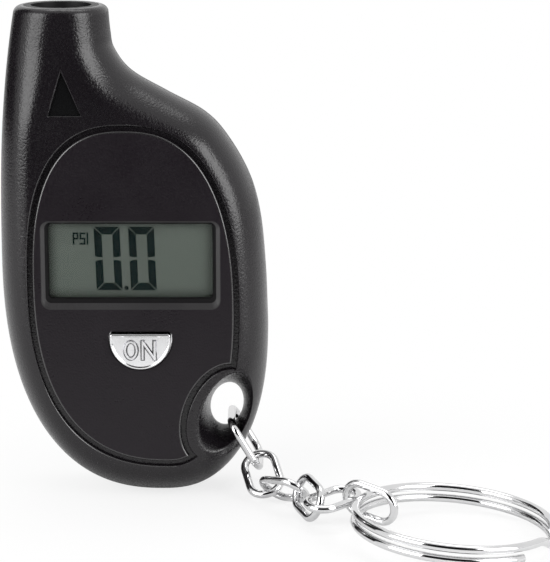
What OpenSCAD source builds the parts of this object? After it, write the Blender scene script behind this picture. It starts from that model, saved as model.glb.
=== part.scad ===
// Digital tyre pressure gauge on a key chain, in millimetres.
// The origin is the middle of the nozzle mouth. The display faces -Y and +Z points up, out of the nozzle.

/* [Body] */
// Height of the body from the nozzle mouth to its lowest point
body_length = 75; // [74:0.5:82]
// Outer radius of the nozzle
nozzle_radius = 7; // [6.9:0.1:8]
// How far the left side bulges from the nozzle axis
belly_left = 9.7; // [9.5:0.1:12]
// How far the right side bulges from the nozzle axis
belly_right = 31; // [30.6:0.1:34]
// Distance of the lowest point to the right of the nozzle axis
bottom_offset = 14.8; // [14:0.1:16]
// Height of the widest place of the right side above the lowest point
belly_rise = 26.5; // [25:0.5:28]
// Front to back thickness of the body
body_thickness = 16; // [15.8:0.1:18]
// Wall of the shells
wall = 1.8; // [1.6:0.05:2]
// Rounding of the body's edge, measured inwards from the outline
edge_inset = 5.2; // [4.8:0.1:5.6]
// Rounding of the nozzle's mouth
rim_radius = 1; // [0.6:0.1:1.2]

/* [Face] */
// Thickness of the inset face panel
panel_thickness = 0.8; // [0.6:0.05:1]
// Width of the groove round the face panel
panel_groove = 1.05; // [0.2:0.05:1.2]
// Distance of the panel's left edge from the body's outline
panel_rim_left = 5.6; // [4.6:0.1:6]
// Distance of the panel's right edge from the body's outline
panel_rim_right = 5.45; // [4.6:0.05:5.5]
// Depth of the panel's top edge below the mouth
panel_top = 18.2; // [17:0.1:20]
// Distance of the panel's bottom edge from the body's lowest point
panel_rim_bottom = 6.5; // [5.8:0.1:7]
// Width of the border between the panel and the key hole
key_border = 1.2; // [1:0.1:1.6]
// Depth of the arrow engraved below the mouth
arrow_depth = 0.4; // [0.2:0.05:0.6]

/* [Display] */
// Distance of the window's middle to the right of the nozzle axis
window_x = 10.35; // [10.2:0.05:11.2]
// Depth of the window's middle below the mouth
window_depth = 37.25; // [36.8:0.05:37.8]
// Width of the visible window
window_width = 24.6; // [24:0.1:25.6]
// Height of the visible window
window_height = 11.3; // [10.4:0.1:11.8]
// Width of the bevel at the sides of the window
bevel_side = 1.25; // [0.8:0.05:1.3]
// Width of the bevel above the window
bevel_top = 0.5; // [0.4:0.05:0.8]
// Width of the bevel below the window
bevel_bottom = 1.2; // [0.8:0.05:1.4]
// Overlap of the lens behind the panel
lens_lip = 0.6; // [0.4:0.05:0.8]
// Thickness of each display glass
glass_thickness = 0.55; // [0.45:0.05:0.6]
// Thickness of the reflector behind the glass
reflector_thickness = 0.2; // [0.1:0.05:0.25]
// Thickness of the display frame's back plate
frame_plate = 0.8; // [0.6:0.05:1]
// Width of each conductive rubber strip
strip_width = 1; // [0.8:0.05:1.2]

/* [Button] */
// Radius of the button's round lower edge
button_radius = 4.6; // [4.2:0.1:4.8]
// Distance of the button's middle to the right of the nozzle axis
button_x = 11.7; // [11.4:0.1:12]
// Depth of the button's middle below the mouth
button_depth = 49.6; // [49.4:0.1:50]
// Height of the button's flat top edge above its middle
button_flat = 0.9; // [0.6:0.1:1.2]
// How far the button stands out of the panel
button_proud = 0.7; // [0.6:0.05:0.9]
// Travel of the button
button_travel = 0.5; // [0.3:0.05:0.55]
// Height of the letters on the button
letter_height = 0.2; // [0.1:0.05:0.3]

/* [Valve] */
// Radius of the socket's bore, which takes a tyre valve
valve_bore = 4.55; // [4.3:0.05:4.7]
// Depth of the open bore
valve_depth = 6.9; // [6.5:0.1:7.5]
// Wall of the socket round its bore
socket_wall = 1.05; // [0.9:0.05:1.1]
// Thickness of the rubber seal
seal_thickness = 2; // [1.6:0.1:2.2]
// Radius of the hole in the seal
seal_hole = 2.2; // [1.9:0.1:2.6]
// Radius of the air hole and of the pin's shank
pin_radius = 1; // [0.9:0.05:1.1]
// Outer radius of the air tube
tube_radius = 2.6; // [2.4:0.1:2.8]
// Bore radius of the air tube
tube_bore = 1.5; // [1.4:0.05:1.6]

/* [Battery] */
// Radius of the coin cell
cell_radius = 10; // [9.6:0.1:10.2]
// Thickness of the coin cell
cell_thickness = 3.2; // [2.8:0.1:3.4]
// Distance of the cell's middle to the right of the nozzle axis
cell_x = 9; // [8.6:0.1:9.4]
// Depth of the cell's middle below the mouth
cell_depth = 43.5; // [43.2:0.1:43.8]
// Thickness of the battery cover's disc
cover_thickness = 1.6; // [1.4:0.05:1.7]
// Width of the coin slot in the cover
coin_slot = 1.6; // [1.2:0.1:2]

/* [Board] */
// Thickness of the circuit board
board_thickness = 1; // [0.8:0.05:1.2]
// Radius of the shank of the board screws
board_screw = 0.8; // [0.7:0.05:0.9]
// Radius of the shank of the case screws
case_screw = 0.9; // [0.8:0.05:1]

/* [Key chain] */
// Distance of the key hole's middle from the right side
key_inset = 6.4; // [6.2:0.05:6.8]
// Height of the key hole's middle above the lowest point
key_height = 13.2; // [13:0.1:13.6]
// Half of the key hole's height at the parting plane
key_hole_height = 3.5; // [3.4:0.05:3.8]
// Half of the key hole's width at the parting plane
key_hole_width = 2.5; // [2.4:0.05:2.7]
// Wire diameter of the links
link_wire = 1.3; // [1.2:0.05:1.35]
// Length of an oval link, along the middle of its wire
link_length = 8.5; // [8.4:0.05:8.8]
// Width of an oval link, along the middle of its wire
link_width = 4.8; // [4.7:0.05:5]
// Wire diameter of the split ring
ring_wire = 1.25; // [1.1:0.05:1.3]
// Outer diameter of the split ring
ring_diameter = 30; // [29.8:0.1:31]

/* [Clearances] */
// Gap of pieces that are fitted into one another
fit_gap = 0.05; // [0.03:0.01:0.08]
// Gap round the button
slide_gap = 0.2; // [0.15:0.05:0.3]
// Gap round the battery cover
turn_gap = 0.15; // [0.1:0.05:0.2]
// Gap between chained links
link_gap = 0.25; // [0.2:0.05:0.35]
// Gap between the two turns of the split ring
ring_gap = 0.45; // [0.42:0.01:0.6]

/* [Hidden] */
$fn = 64;
over = 1;

// Outline of the body: the right side's form as shares of depth and of width, and the round bottom
belly_depth_left = body_length / 2;
belly_depth_right = body_length - belly_rise;
side_form = [[0, 0], [0.085, 0.015], [0.134, 0.036], [0.203, 0.143], [0.266, 0.36], [0.328, 0.59],
    [0.392, 0.722], [0.5175, 0.873], [0.64, 0.947], [0.81, 0.984], [1, 1]];
left_power = 2.5;
round_power = 2.4;
half = body_thickness / 2;
// Depths between which the round nozzle becomes the flat body
neck_top = 5;
neck_bottom = 18;
nozzle_flat = 0.5;
// The body thins towards the key hole's outer side
fin_inset = 4.8;
fin_reach = 13;
fin_at = [belly_right - 2.5, 10 - body_length];
// Counts of the body's grid
neck_rows = 28;
round_rows = 16;
edge_steps = 6;
cavity_rows = 10;
cavity_round = 10;
cavity_steps = 4;

// Places across the thickness, from the front to the back
panel_back = -half + panel_thickness;
web_back = -half + wall;
glass_mid = web_back + glass_thickness;
glass_back = glass_mid + glass_thickness;
reflector_back = glass_back + reflector_thickness;
plate_back = reflector_back + frame_plate;
frame_lip = 0.25;
board_front = plate_back + 1.5;
board_back = board_front + board_thickness;
cover_inner = half - cover_thickness;
web_inner = half - wall;
cell_back = cover_inner - 0.6;
cell_front = cell_back - cell_thickness;
contact_thickness = 0.3;
dimple = 0.7;
tray_back = cell_front - dimple - contact_thickness;
tray_thickness = 1;
tray_front = tray_back - tray_thickness;

// Display places
lens_size = [window_width + 2 * lens_lip, window_height + 2 * lens_lip];
ledge = strip_width + 0.5;
rear_glass_size = [window_width + 1.2, window_height + 0.1];
front_glass_size = [window_width + 1.2, rear_glass_size[1] + 2 * ledge];
frame_wall = 0.85;
frame_size = [front_glass_size[0] + 2 * frame_wall, front_glass_size[1] + 2 * frame_wall];
frame_top = window_depth - frame_size[1] / 2;
frame_bottom = window_depth + frame_size[1] / 2;
frame_gap = 0.3;

// Valve places
socket_radius = valve_bore + socket_wall;
seal_groove = 0.45;
seal_bottom = valve_depth + seal_thickness;
socket_floor = 4.1;
socket_bottom = seal_bottom + socket_floor;
flange_radius = socket_radius + 0.6;
flange_top = socket_bottom - 3;
flange_thickness = 2;
barb_length = 5;
air_hole = 0.8;
tube_top = socket_bottom + 1;
tube_length = 10;
port_depth = 20.5;
sensor_top = tube_top + tube_length + 1;
sensor_size = [7, 5.5];
sensor_back = tray_back - 0.1;
pin_tip = 1.2;
pin_top = valve_depth + 0.15;
cavity_top = socket_bottom + 0.5;

// Button places
flange_lip = 0.8;
button_flange = 0.6;
button_back = web_back + button_flange;
plunger_front = button_back + 0.5;
plunger_radius = 1.2;
plunger_length = 1.5;
switch_side = 6;
switch_height = 1.8;
button_drop = (button_radius - button_flat) / 2;
button_place = max(button_depth, frame_bottom + frame_gap + switch_side / 2 - button_drop);
button_middle_z = -button_place - button_drop;
stem_radius = 1.5;

// Board outline and screw places
board_boss = 2;
board_edge = 2.5;
board_screw_depth = frame_top - frame_gap - board_boss;
board_left = -5;
board_right = 24;
board_top = min(sensor_top - 0.6, board_screw_depth - board_edge);
board_bottom = frame_bottom + 0.8;
tab_half = 5.5;
tab_x = button_x - 2.2;
tab_bottom = button_place + 7.9;
board_screw_at = [[8, -board_screw_depth], [19, -board_screw_depth], [tab_x - 3.2, -tab_bottom + board_edge]];
board_head = 1.7;
board_head_height = 1.1;
board_screw_length = 4;
case_boss = 2.6;
boss_root = 0.1;
case_depths = [board_top - case_boss - 1.2, body_length - 7.5, body_length - 19.5];
case_screw_at = [[side_right(case_depths[0]) - 10.9, -case_depths[0]], [bottom_offset - 2.8, -case_depths[1]],
    [side_left(case_depths[2]) + 4.85, -case_depths[2]]];
case_head = 2.1;
case_head_height = 1.4;
case_seat = web_inner - 1.2;
case_screw_length = 10;
tray_legs = [[cell_x - 5, -cell_depth + 6.5], [cell_x - 10, -cell_depth - 0.5], [cell_x + 5, -cell_depth - 1]];
leg_radius = 1.2;
chip_radii = [3.5, 2.4];
chip_at = [16, -board_screw_depth - chip_radii[0] - 0.6];
chip_height = 1.2;

// Battery places
cell_clear = 0.5;
tray_ring = 0.9;
tray_ring_height = 3.2;
cover_radius = cell_radius + 1;
cover_skirt = cover_radius - 0.75;
lug_reach = 1.1;
lug_angle = 28;
notch_angle = 36;
turn_angle = 45;
well_inner = cover_radius + 1.4;
well_wall = 1;
neg_tail_z = -cell_depth + 4.6;
neg_tail_half = 1;
contact_half = 2;
contact_strip = 0.25;
lug_thickness = 1.2;
lug_back = web_inner - 0.1;
skirt_front = lug_back - lug_thickness;

// Key hole places: the middle, and how the hole grows towards the faces
key_x = belly_right - key_inset;
key_z = key_height - body_length;
key_tilt = 12;
key_flare = [1, 0.2];
key_grow = [3.9, 2.4];
key_flare_tilt = 22;
key_power = 1.5;
key_boss = 8.8;
key_boss_at = [key_x - 1, key_z + 0.6];
key_sides = 32;
key_levels = [0, 1, 2, 3.5, 5, 6.5, 8, 9];

// Chain: the first link is a long one round the key hole's outer side
link1_at = [key_x + 0.7, 0, key_z - 1.9];
link1_down = 59;
link1_span = link_length - 0.1;
link1_depth = 10.7;
link1_corner = 2.2;
link2_slide = -2.4;
// Turn, rise and roll of the links 2 to 6
link_pose = [[-75, -28, 20], [-50, 10, 135], [-70, -5, 250], [40, 5, 5], [-35, -8, 95]];
// Middle, tilt and turn of the split ring
ring_at = [58, -27];
ring_tilt = 4.5;
ring_turn = -45;
ring_sweep = 685;
ring_step = [328, 353];
ring_segments = 46;
ring_sides = 6;
floor_z = -body_length;
ring_radius = (ring_diameter - ring_wire) / 2;
ring_pitch = ring_wire + ring_gap;

black = [0.10, 0.10, 0.11];
chrome = [0.78, 0.79, 0.80];

// Helpers
function mix(a, b, t) = a + (b - a) * t;
function smooth(a, b, v) = let (t = min(1, max(0, (v - a) / (b - a)))) t * t * (3 - 2 * t);
function unit(v) = v / norm(v);
function turn_z(a) = [[cos(a), -sin(a), 0], [sin(a), cos(a), 0], [0, 0, 1]];
function turn_y(a) = [[cos(a), 0, sin(a)], [0, 1, 0], [-sin(a), 0, cos(a)]];
function turn_x(a) = [[1, 0, 0], [0, cos(a), -sin(a)], [0, sin(a), cos(a)]];

// Smooth curve through knots
function knot_slope(k, j) =
    let (a = max(j - 1, 0), b = min(j + 1, len(k) - 1)) (k[b][1] - k[a][1]) / (k[b][0] - k[a][0]);
function knot_before(k, u) = max([for (j = [0:len(k) - 2]) if (k[j][0] <= u) j]);
function curve(k, u) =
    let (i = knot_before(k, u), h = k[i + 1][0] - k[i][0], t = (u - k[i][0]) / h)
    (1 + 2 * t) * pow(1 - t, 2) * k[i][1] + t * pow(1 - t, 2) * h * knot_slope(k, i)
    + t * t * (3 - 2 * t) * k[i + 1][1] + t * t * (t - 1) * h * knot_slope(k, i + 1);

// Body outline at a depth below the mouth
function bottom_round(d, from) =
    pow(max(0, 1 - pow((d - from) / (body_length - from), round_power)), 1 / round_power);
function side_left(d) = d < belly_depth_left
    ? -mix(nozzle_radius, belly_left, 1 - pow(1 - d / belly_depth_left, left_power))
    : mix(bottom_offset, -belly_left, bottom_round(d, belly_depth_left));
function side_right(d) = d < belly_depth_right
    ? mix(nozzle_radius, belly_right, curve(side_form, d / belly_depth_right))
    : mix(bottom_offset, belly_right, bottom_round(d, belly_depth_right));
function thick(d) = mix(nozzle_radius, half, smooth(neck_top, neck_bottom, d));
function inset_at(p) =
    mix(nozzle_radius - nozzle_flat, edge_inset, smooth(neck_top + 2, neck_bottom + 2, -p[1]))
    + fin_inset * pow(max(0, 1 - pow(norm(p - fin_at) / fin_reach, 2)), 2);
function rim(d) = d >= rim_radius ? 0 : rim_radius - sqrt(pow(rim_radius, 2) - pow(rim_radius - d, 2));

// Depths of the grid's rows, from a first depth to the lowest point
function row_depths(first, upper, lower) = concat(
    [for (i = [0:upper - 1]) mix(first, belly_depth_left, i / upper)],
    [for (j = [lower:-1:0]) body_length - (body_length - belly_depth_left) * (1 - cos(90 * j / lower))]);
// The outline runs down the left side and up the right side; round the mouth its rows stay level
function outline(rows) = concat([for (d = rows) [side_left(d), -d]],
    [for (i = [len(rows) - 2:-1:0]) [side_right(rows[i]), -rows[i]]]);
function inward(p, i) = i == 0 ? [1, 0] : i == len(p) - 1 ? [-1, 0]
    : let (t = unit(p[i + 1] - p[i - 1])) unit([-t[1], t[0] * smooth(rim_radius, neck_bottom, -p[i][1])]);
function level_point(p, n, skin, a, side) =
    let (e = rim(-p[1]) + skin, s = e + (max(inset_at(p) - e, 0.4)) * (1 - cos(a)), q = p + n * s)
    [q[0], side * (thick(-q[1]) - e) * sin(a), q[1]];

// Closed half body between the parting plane and one face
module half_form(rows, skin, steps, side) {
    p = outline(rows);
    count = len(p);
    n = (count - 1) / 2;
    points = [for (k = [0:steps], i = [0:count - 1])
        level_point(p[i], inward(p, i), skin, 90 * k / steps, side)];
    edge = [for (k = [0:steps - 1], i = [0:count - 2], h = [0, 1])
        let (a = k * count + i) h == 0 ? [a, a + 1, a + count + 1] : [a, a + count + 1, a + count]];
    mouth = [for (k = [0:steps - 1], h = [0, 1])
        let (a = k * count) h == 0 ? [a + count - 1, a, a + count] : [a + count - 1, a + count, a + 2 * count - 1]];
    face = [for (i = [0:n - 1], h = [0, 1], k = [0, steps])
        let (a = k * count + i, b = k * count + count - 1 - i, up = k > 0)
        if (h == 0 || i < n - 1)
            h == 0 ? (up ? [a, a + 1, b] : [b, a + 1, a]) : (up ? [a + 1, b - 1, b] : [b, b - 1, a + 1])];
    faces = concat(edge, mouth, face);
    polyhedron(points, side > 0 ? faces : [for (f = faces) [f[2], f[1], f[0]]], convexity = 8);
}

module body_half(side) {
    rim_rows = [for (a = [0:22.5:67.5]) rim_radius * (1 - cos(a))];
    half_form(concat(rim_rows, row_depths(rim_radius, neck_rows, round_rows)), 0, edge_steps, side);
}

module cavity_half(side) {
    difference() {
        half_form(row_depths(cavity_top, cavity_rows, cavity_round), wall, cavity_steps, side);
        ycyl(key_boss_at, key_boss, -half, half);
    }
}

module ycyl(at, r, y0, y1) {
    translate([at[0], y0, at[1]])
        rotate([-90, 0, 0])
        cylinder(r = r, h = y1 - y0);
}

module ybox(x0, x1, z0, z1, y0, y1) {
    translate([x0, y0, z0])
        cube([x1 - x0, y1 - y0, z1 - z0]);
}

// Box round the middle of the display
module display_box(size, y0, y1, grow = 0) {
    w = size[0] / 2 + grow;
    h = size[1] / 2 + grow;
    ybox(window_x - w, window_x + w, -window_depth - h, -window_depth + h, y0, y1);
}

// Flat shape in the plane of the face, given as points of x and z
module yplate(points, y0, y1) {
    translate([0, y1, 0])
        rotate([90, 0, 0])
        linear_extrude(height = y1 - y0)
        polygon(points);
}

// Panel outline: four round quarters of their own roundness
panel_left = -belly_left + panel_rim_left;
panel_right = belly_right - panel_rim_right;
panel_bottom = body_length - panel_rim_bottom;
panel_crown_x = 9.5;
panel_foot_x = bottom_offset + 1.2;
panel_wide_left = 40.3;
panel_wide_right = belly_depth_right - 2;
panel_powers = [2.45, 2.85, 2.45, 2.15];
panel_key_at = [key_x + key_flare[0] - 2, key_z + 0.3];
panel_key_half = [key_hole_height + key_grow[0] + key_border, key_hole_width + key_grow[1] + key_border - 0.4];
function signed_pow(v, n) = v < 0 ? -pow(-v, n) : pow(v, n);
function panel_outline(grow) = [for (a = [0:7.5:359])
    let (
        c = cos(a),
        s = sin(a),
        n = 2 / panel_powers[floor(a / 90)],
        x = s >= 0 ? panel_crown_x : panel_foot_x,
        z = c >= 0 ? -panel_wide_right : -panel_wide_left,
        w = (c >= 0 ? panel_right - x : x - panel_left) + grow,
        h = (s >= 0 ? -panel_top - z : z + panel_bottom) + grow)
    [x + w * signed_pow(c, n), z + h * signed_pow(s, n)]];
function oval(at, long, short, tilt, sides) = [for (i = [0:sides - 1])
    let (a = 360 * i / sides, u = long * cos(a), v = short * sin(a))
    [at[0] + u * sin(tilt) + v * cos(tilt), at[1] + u * cos(tilt) - v * sin(tilt)]];

module panel_form(grow, y0, y1) {
    difference() {
        yplate(panel_outline(grow), y0, y1);
        yplate(oval(panel_key_at, panel_key_half[0] - grow, panel_key_half[1] - grow, key_flare_tilt, key_sides),
            y0 - over, y1 + over);
    }
}

// Bevelled opening of the panel over the window
module window_bevel() {
    x = [window_x - window_width / 2, window_x + window_width / 2];
    z = [-window_depth - window_height / 2, -window_depth + window_height / 2];
    polyhedron([
        [x[0], panel_back, z[0]], [x[1], panel_back, z[0]], [x[1], panel_back, z[1]], [x[0], panel_back, z[1]],
        [x[0] - bevel_side, -half, z[0] - bevel_bottom], [x[1] + bevel_side, -half, z[0] - bevel_bottom],
        [x[1] + bevel_side, -half, z[1] + bevel_top], [x[0] - bevel_side, -half, z[1] + bevel_top]],
        [[0, 2, 3], [0, 1, 2], [4, 6, 5], [4, 7, 6], [0, 5, 1], [0, 4, 5], [1, 6, 2], [1, 5, 6],
        [2, 7, 3], [2, 6, 7], [3, 4, 0], [3, 7, 4]]);
}

// Round shape with a flat top edge, as the button has
module button_form(grow, y0, y1) {
    r = button_radius + grow;
    intersection() {
        ycyl([button_x, -button_place], r, y0, y1);
        ybox(button_x - r - over, button_x + r + over, -button_place - r - over,
            -button_place + button_flat + grow, y0 - over, y1 + over);
    }
}

// Flared key hole from past one face to just past the parting plane
function key_section(y, sides) =
    let (f = pow(y / 8, key_power))
    oval([key_x + key_flare[0] * f, key_z + key_flare[1] * f], key_hole_height + key_grow[0] * f,
        key_hole_width + key_grow[1] * f, mix(key_tilt, key_flare_tilt, min(1, f)), sides);

module key_hole(side) {
    grown = half / 8;
    levels = concat([for (i = [len(key_levels) - 1:-1:0]) key_levels[i]], [-over]);
    count = len(levels);
    points = [for (v = levels) for (q = key_section(max(v, 0), key_sides)) [q[0], side * v * grown, q[1]]];
    walls = [for (k = [0:count - 2], i = [0:key_sides - 1], h = [0, 1])
        let (a = k * key_sides + i, b = k * key_sides + (i + 1) % key_sides)
        h == 0 ? [a, b, b + key_sides] : [a, b + key_sides, a + key_sides]];
    ends = [for (i = [1:key_sides - 2], h = [0, 1])
        let (z = (count - 1) * key_sides) h == 0 ? [0, i + 1, i] : [z, z + i, z + i + 1]];
    faces = concat(walls, ends);
    polyhedron(points, side > 0 ? faces : [for (f = faces) [f[2], f[1], f[0]]], convexity = 4);
}

// Room for the valve socket, shared by both shells
module socket_room() {
    translate([0, 0, -socket_bottom - over])
        cylinder(r = socket_radius + fit_gap, h = socket_bottom + 2 * over);
    translate([0, 0, -flange_top - flange_thickness])
        cylinder(r = flange_radius + fit_gap, h = flange_thickness);
}

// Arrow that points to the mouth
module arrow() {
    tip = 9.2;
    foot = 15.8;
    lean = atan((thick(foot) - thick(tip)) / (foot - tip));
    translate([0, -thick(tip), -tip])
        rotate([lean, 0, 0])
        yplate([[0.7, 0], [-1.2, -foot + tip], [3.4, -foot + tip]], -over, arrow_depth);
}

module front_shell() {
    color(black)
        difference() {
            union() {
                difference() {
                    body_half(-1);
                    cavity_half(-1);
                }
                for (s = board_screw_at)
                    ycyl(s, board_boss, web_back - boss_root, board_front);
                for (s = case_screw_at)
                    ycyl(s, case_boss, web_back - boss_root, 0);
            }
            panel_form(panel_groove, -half - over, panel_back);
            display_box(lens_size, panel_back - over, web_back + over, fit_gap);
            button_form(slide_gap, panel_back - over, web_back + over);
            arrow();
            key_hole(-1);
            socket_room();
            for (s = board_screw_at)
                ycyl(s, board_screw + fit_gap, board_front - board_screw_length + board_thickness - 0.3, board_front + over);
            for (s = case_screw_at)
                ycyl(s, case_screw + fit_gap, case_seat - case_screw_length - 0.3, over);
        }
}

module rear_shell() {
    color(black)
        difference() {
            union() {
                difference() {
                    body_half(1);
                    cavity_half(1);
                }
                for (s = case_screw_at)
                    ycyl(s, case_boss, 0, web_inner + boss_root);
                ycyl([cell_x, -cell_depth], well_inner + well_wall, tray_back, web_inner + boss_root);
            }
            ycyl([cell_x, -cell_depth], well_inner, tray_back - over, web_inner);
            ycyl([cell_x, -cell_depth], cover_radius + turn_gap, web_inner - over, half + over);
            for (k = [0:2])
                sector([cell_x, -cell_depth], cover_radius + lug_reach + 0.2, 120 * k + turn_angle, notch_angle,
                    web_inner - over, half + over);
            key_hole(1);
            socket_room();
            for (s = case_screw_at) {
                ycyl(s, case_screw + 0.25, -over, half + over);
                ycyl(s, case_head + 0.3, case_seat, half + over);
            }
        }
}

// Part of a disc, in the plane of the face
module sector(at, r, mid, wide, y0, y1) {
    translate([at[0], y1, at[1]])
        rotate([90, 0, 0])
        rotate([0, 0, mid - wide / 2])
        rotate_extrude(angle = wide)
        square([r, y1 - y0]);
}

module face_panel() {
    color([0.13, 0.13, 0.14])
        difference() {
            panel_form(0, -half, panel_back);
            window_bevel();
            button_form(slide_gap, -half - over, panel_back + over);
        }
}

module lcd_lens() {
    color([0.75, 0.80, 0.80])
        display_box(lens_size, panel_back, web_back);
}

module lcd_front_glass() {
    color([0.62, 0.66, 0.62])
        display_box(front_glass_size, web_back, glass_mid);
}

module lcd_rear_glass() {
    color([0.58, 0.63, 0.60])
        display_box(rear_glass_size, glass_mid, glass_back);
}

module lcd_reflector() {
    color([0.80, 0.82, 0.78])
        display_box(rear_glass_size, glass_back, reflector_back);
}

module strip_pair(grow, y0, y1) {
    z = (rear_glass_size[1] + ledge) / 2;
    for (s = [-1, 1])
        ybox(window_x - window_width / 2 - grow, window_x + window_width / 2 + grow,
            -window_depth + s * z - strip_width / 2 - grow, -window_depth + s * z + strip_width / 2 + grow, y0, y1);
}

module lcd_frame() {
    color([0.85, 0.85, 0.82])
        difference() {
            display_box(frame_size, glass_mid - frame_lip, board_front);
            display_box(front_glass_size, glass_mid - over, glass_mid, fit_gap);
            display_box(rear_glass_size, glass_mid - over, reflector_back, fit_gap);
            strip_pair(fit_gap, glass_mid - over, board_front + over);
            display_box([rear_glass_size[0], rear_glass_size[1] - 1.6], plate_back, board_front + over);
        }
}

module zebra_strips() {
    color([0.85, 0.55, 0.60])
        strip_pair(0, glass_mid, board_front);
}

module circuit_board() {
    color([0.10, 0.35, 0.20])
        difference() {
            union() {
                ybox(board_left, board_right, -board_bottom, -board_top, board_front, board_back);
                ybox(tab_x - tab_half, tab_x + tab_half, -tab_bottom, -board_bottom + over, board_front, board_back);
            }
            for (s = board_screw_at)
                ycyl(s, board_screw + 0.15, board_front - over, board_back + over);
            translate([0, 0, -tube_top - tube_length])
                cylinder(r = tube_radius + frame_gap, h = tube_length);
        }
}

module chip_blob() {
    color([0.05, 0.05, 0.05])
        translate([chip_at[0], board_back, chip_at[1]])
        rotate([-90, 0, 0])
        cylinder(r1 = chip_radii[0], r2 = chip_radii[1], h = chip_height);
}

module sensor_block(grow) {
    ybox(-sensor_size[0] / 2 - grow, sensor_size[0] / 2 + grow, -sensor_top - sensor_size[1] - grow, -sensor_top + grow,
        board_back, sensor_back + grow);
}

module pressure_sensor() {
    color([0.75, 0.75, 0.70])
        difference() {
            union() {
                sensor_block(0);
                translate([0, 0, -sensor_top - over])
                    cylinder(r = tube_bore - fit_gap, h = sensor_top - port_depth + over);
            }
            translate([0, 0, -sensor_top - 2])
                cylinder(r = air_hole, h = sensor_top);
        }
}

module air_tube() {
    color([0.80, 0.80, 0.82])
        translate([0, 0, -tube_top - tube_length])
        difference() {
            cylinder(r = tube_radius, h = tube_length);
            translate([0, 0, -over])
                cylinder(r = tube_bore, h = tube_length + 2 * over);
        }
}

module valve_socket() {
    color([0.12, 0.12, 0.13])
        difference() {
            union() {
                translate([0, 0, -socket_bottom])
                    cylinder(r = socket_radius, h = socket_bottom);
                translate([0, 0, -flange_top - flange_thickness])
                    cylinder(r = flange_radius, h = flange_thickness);
                translate([0, 0, -socket_bottom - barb_length])
                    cylinder(r = tube_bore - fit_gap, h = barb_length + over);
            }
            translate([0, 0, -valve_depth])
                cylinder(r = valve_bore, h = valve_depth + over);
            translate([0, 0, -seal_bottom])
                cylinder(r = valve_bore + seal_groove, h = seal_thickness);
            translate([0, 0, -socket_bottom + 1])
                cylinder(r = pin_radius + fit_gap, h = socket_floor);
            translate([0, 0, -socket_bottom - barb_length - over])
                cylinder(r = air_hole, h = barb_length + socket_floor);
        }
}

module valve_seal() {
    color([0.08, 0.08, 0.08])
        translate([0, 0, -seal_bottom])
        difference() {
            cylinder(r = valve_bore + seal_groove - fit_gap, h = seal_thickness);
            translate([0, 0, -over])
                cylinder(r = seal_hole, h = seal_thickness + 2 * over);
        }
}

// The shank has a flat side that lets air past
module valve_pin() {
    shank_bottom = socket_bottom - 1;
    color([0.80, 0.75, 0.55])
        difference() {
            union() {
                translate([0, 0, -shank_bottom])
                    cylinder(r = pin_radius, h = shank_bottom - pin_top);
                translate([0, 0, -seal_bottom])
                    cylinder(r = pin_tip, h = seal_bottom - pin_top);
            }
            translate([pin_radius * 0.55, -2, -shank_bottom - over])
                cube([2, 4, shank_bottom + 2 * over]);
        }
}

// Two plain raised letters
letter_half = 1.15;
letter_stroke = 0.45;
letter_middle = 1.45;
letter_edges = [0.25, 2.25];
letter_slant = 0.4;
module letters(y0, y1) {
    z = button_middle_z;
    h = letter_half;
    x = [button_x + letter_edges[0], button_x + letter_edges[1]];
    inner = [x[0] + letter_stroke, x[1] - letter_stroke];
    difference() {
        ycyl([button_x - letter_middle, z], h, y0, y1);
        ycyl([button_x - letter_middle, z], h - letter_stroke, y0 - over, y1 + over);
    }
    yplate([[x[0], z - h], [inner[0], z - h], [inner[0], z + letter_slant], [inner[1], z - h], [x[1], z - h],
        [x[1], z + h], [inner[1], z + h], [inner[1], z - letter_slant], [inner[0], z + h], [x[0], z + h]], y0, y1);
}

module on_button() {
    front = -half - button_proud;
    color(chrome)
        union() {
            button_form(0, front, web_back + button_flange / 2);
            button_form(flange_lip, web_back, button_back);
            ycyl([button_x, button_middle_z], stem_radius, web_back, plunger_front);
            letters(front - letter_height, front + 0.2);
        }
}

module switch_body() {
    s = switch_side / 2;
    z = button_middle_z;
    color([0.20, 0.20, 0.22])
        difference() {
            ybox(button_x - s, button_x + s, z - s, z + s, board_front - switch_height, board_front);
            ycyl([button_x, z], plunger_radius + fit_gap, board_front - switch_height - over, board_front - 0.3);
        }
}

module switch_plunger() {
    color([0.70, 0.15, 0.12])
        ycyl([button_x, button_middle_z], plunger_radius, plunger_front, plunger_front + plunger_length);
}

// Room for the pieces round the tray
module tray_neighbours() {
    ycyl(key_boss_at, key_boss + frame_gap, board_back, half);
    for (s = case_screw_at)
        ycyl(s, case_boss + frame_gap, board_back, half);
    sensor_block(frame_gap);
}

module battery_tray() {
    at = [cell_x, -cell_depth];
    color([0.16, 0.16, 0.17])
        difference() {
            union() {
                ycyl(at, well_inner + well_wall, tray_front, tray_back);
                difference() {
                    ycyl(at, cell_radius + cell_clear + tray_ring, tray_front, tray_back + tray_ring_height);
                    ycyl(at, cell_radius + cell_clear, tray_back, tray_back + tray_ring_height + over);
                }
                for (s = tray_legs)
                    ycyl(s, leg_radius, board_back, tray_back - tray_thickness / 2);
            }
            contact_slot(fit_gap);
            ybox(cell_x - neg_tail_half - fit_gap, cell_x + neg_tail_half + fit_gap, neg_tail_z - fit_gap,
                neg_tail_z + contact_thickness + fit_gap, tray_front - over, tray_back + over);
            tray_neighbours();
        }
}

// The strip that touches the side of the cell
module contact_slot(grow) {
    x = cell_x + cell_radius + fit_gap;
    ybox(x - grow, x + contact_strip + grow, -cell_depth - contact_half - grow, -cell_depth + contact_half + grow,
        board_back, tray_back + tray_ring_height - 0.2);
}

module battery_contact_pos() {
    color([0.80, 0.75, 0.60])
        contact_slot(0);
}

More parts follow.
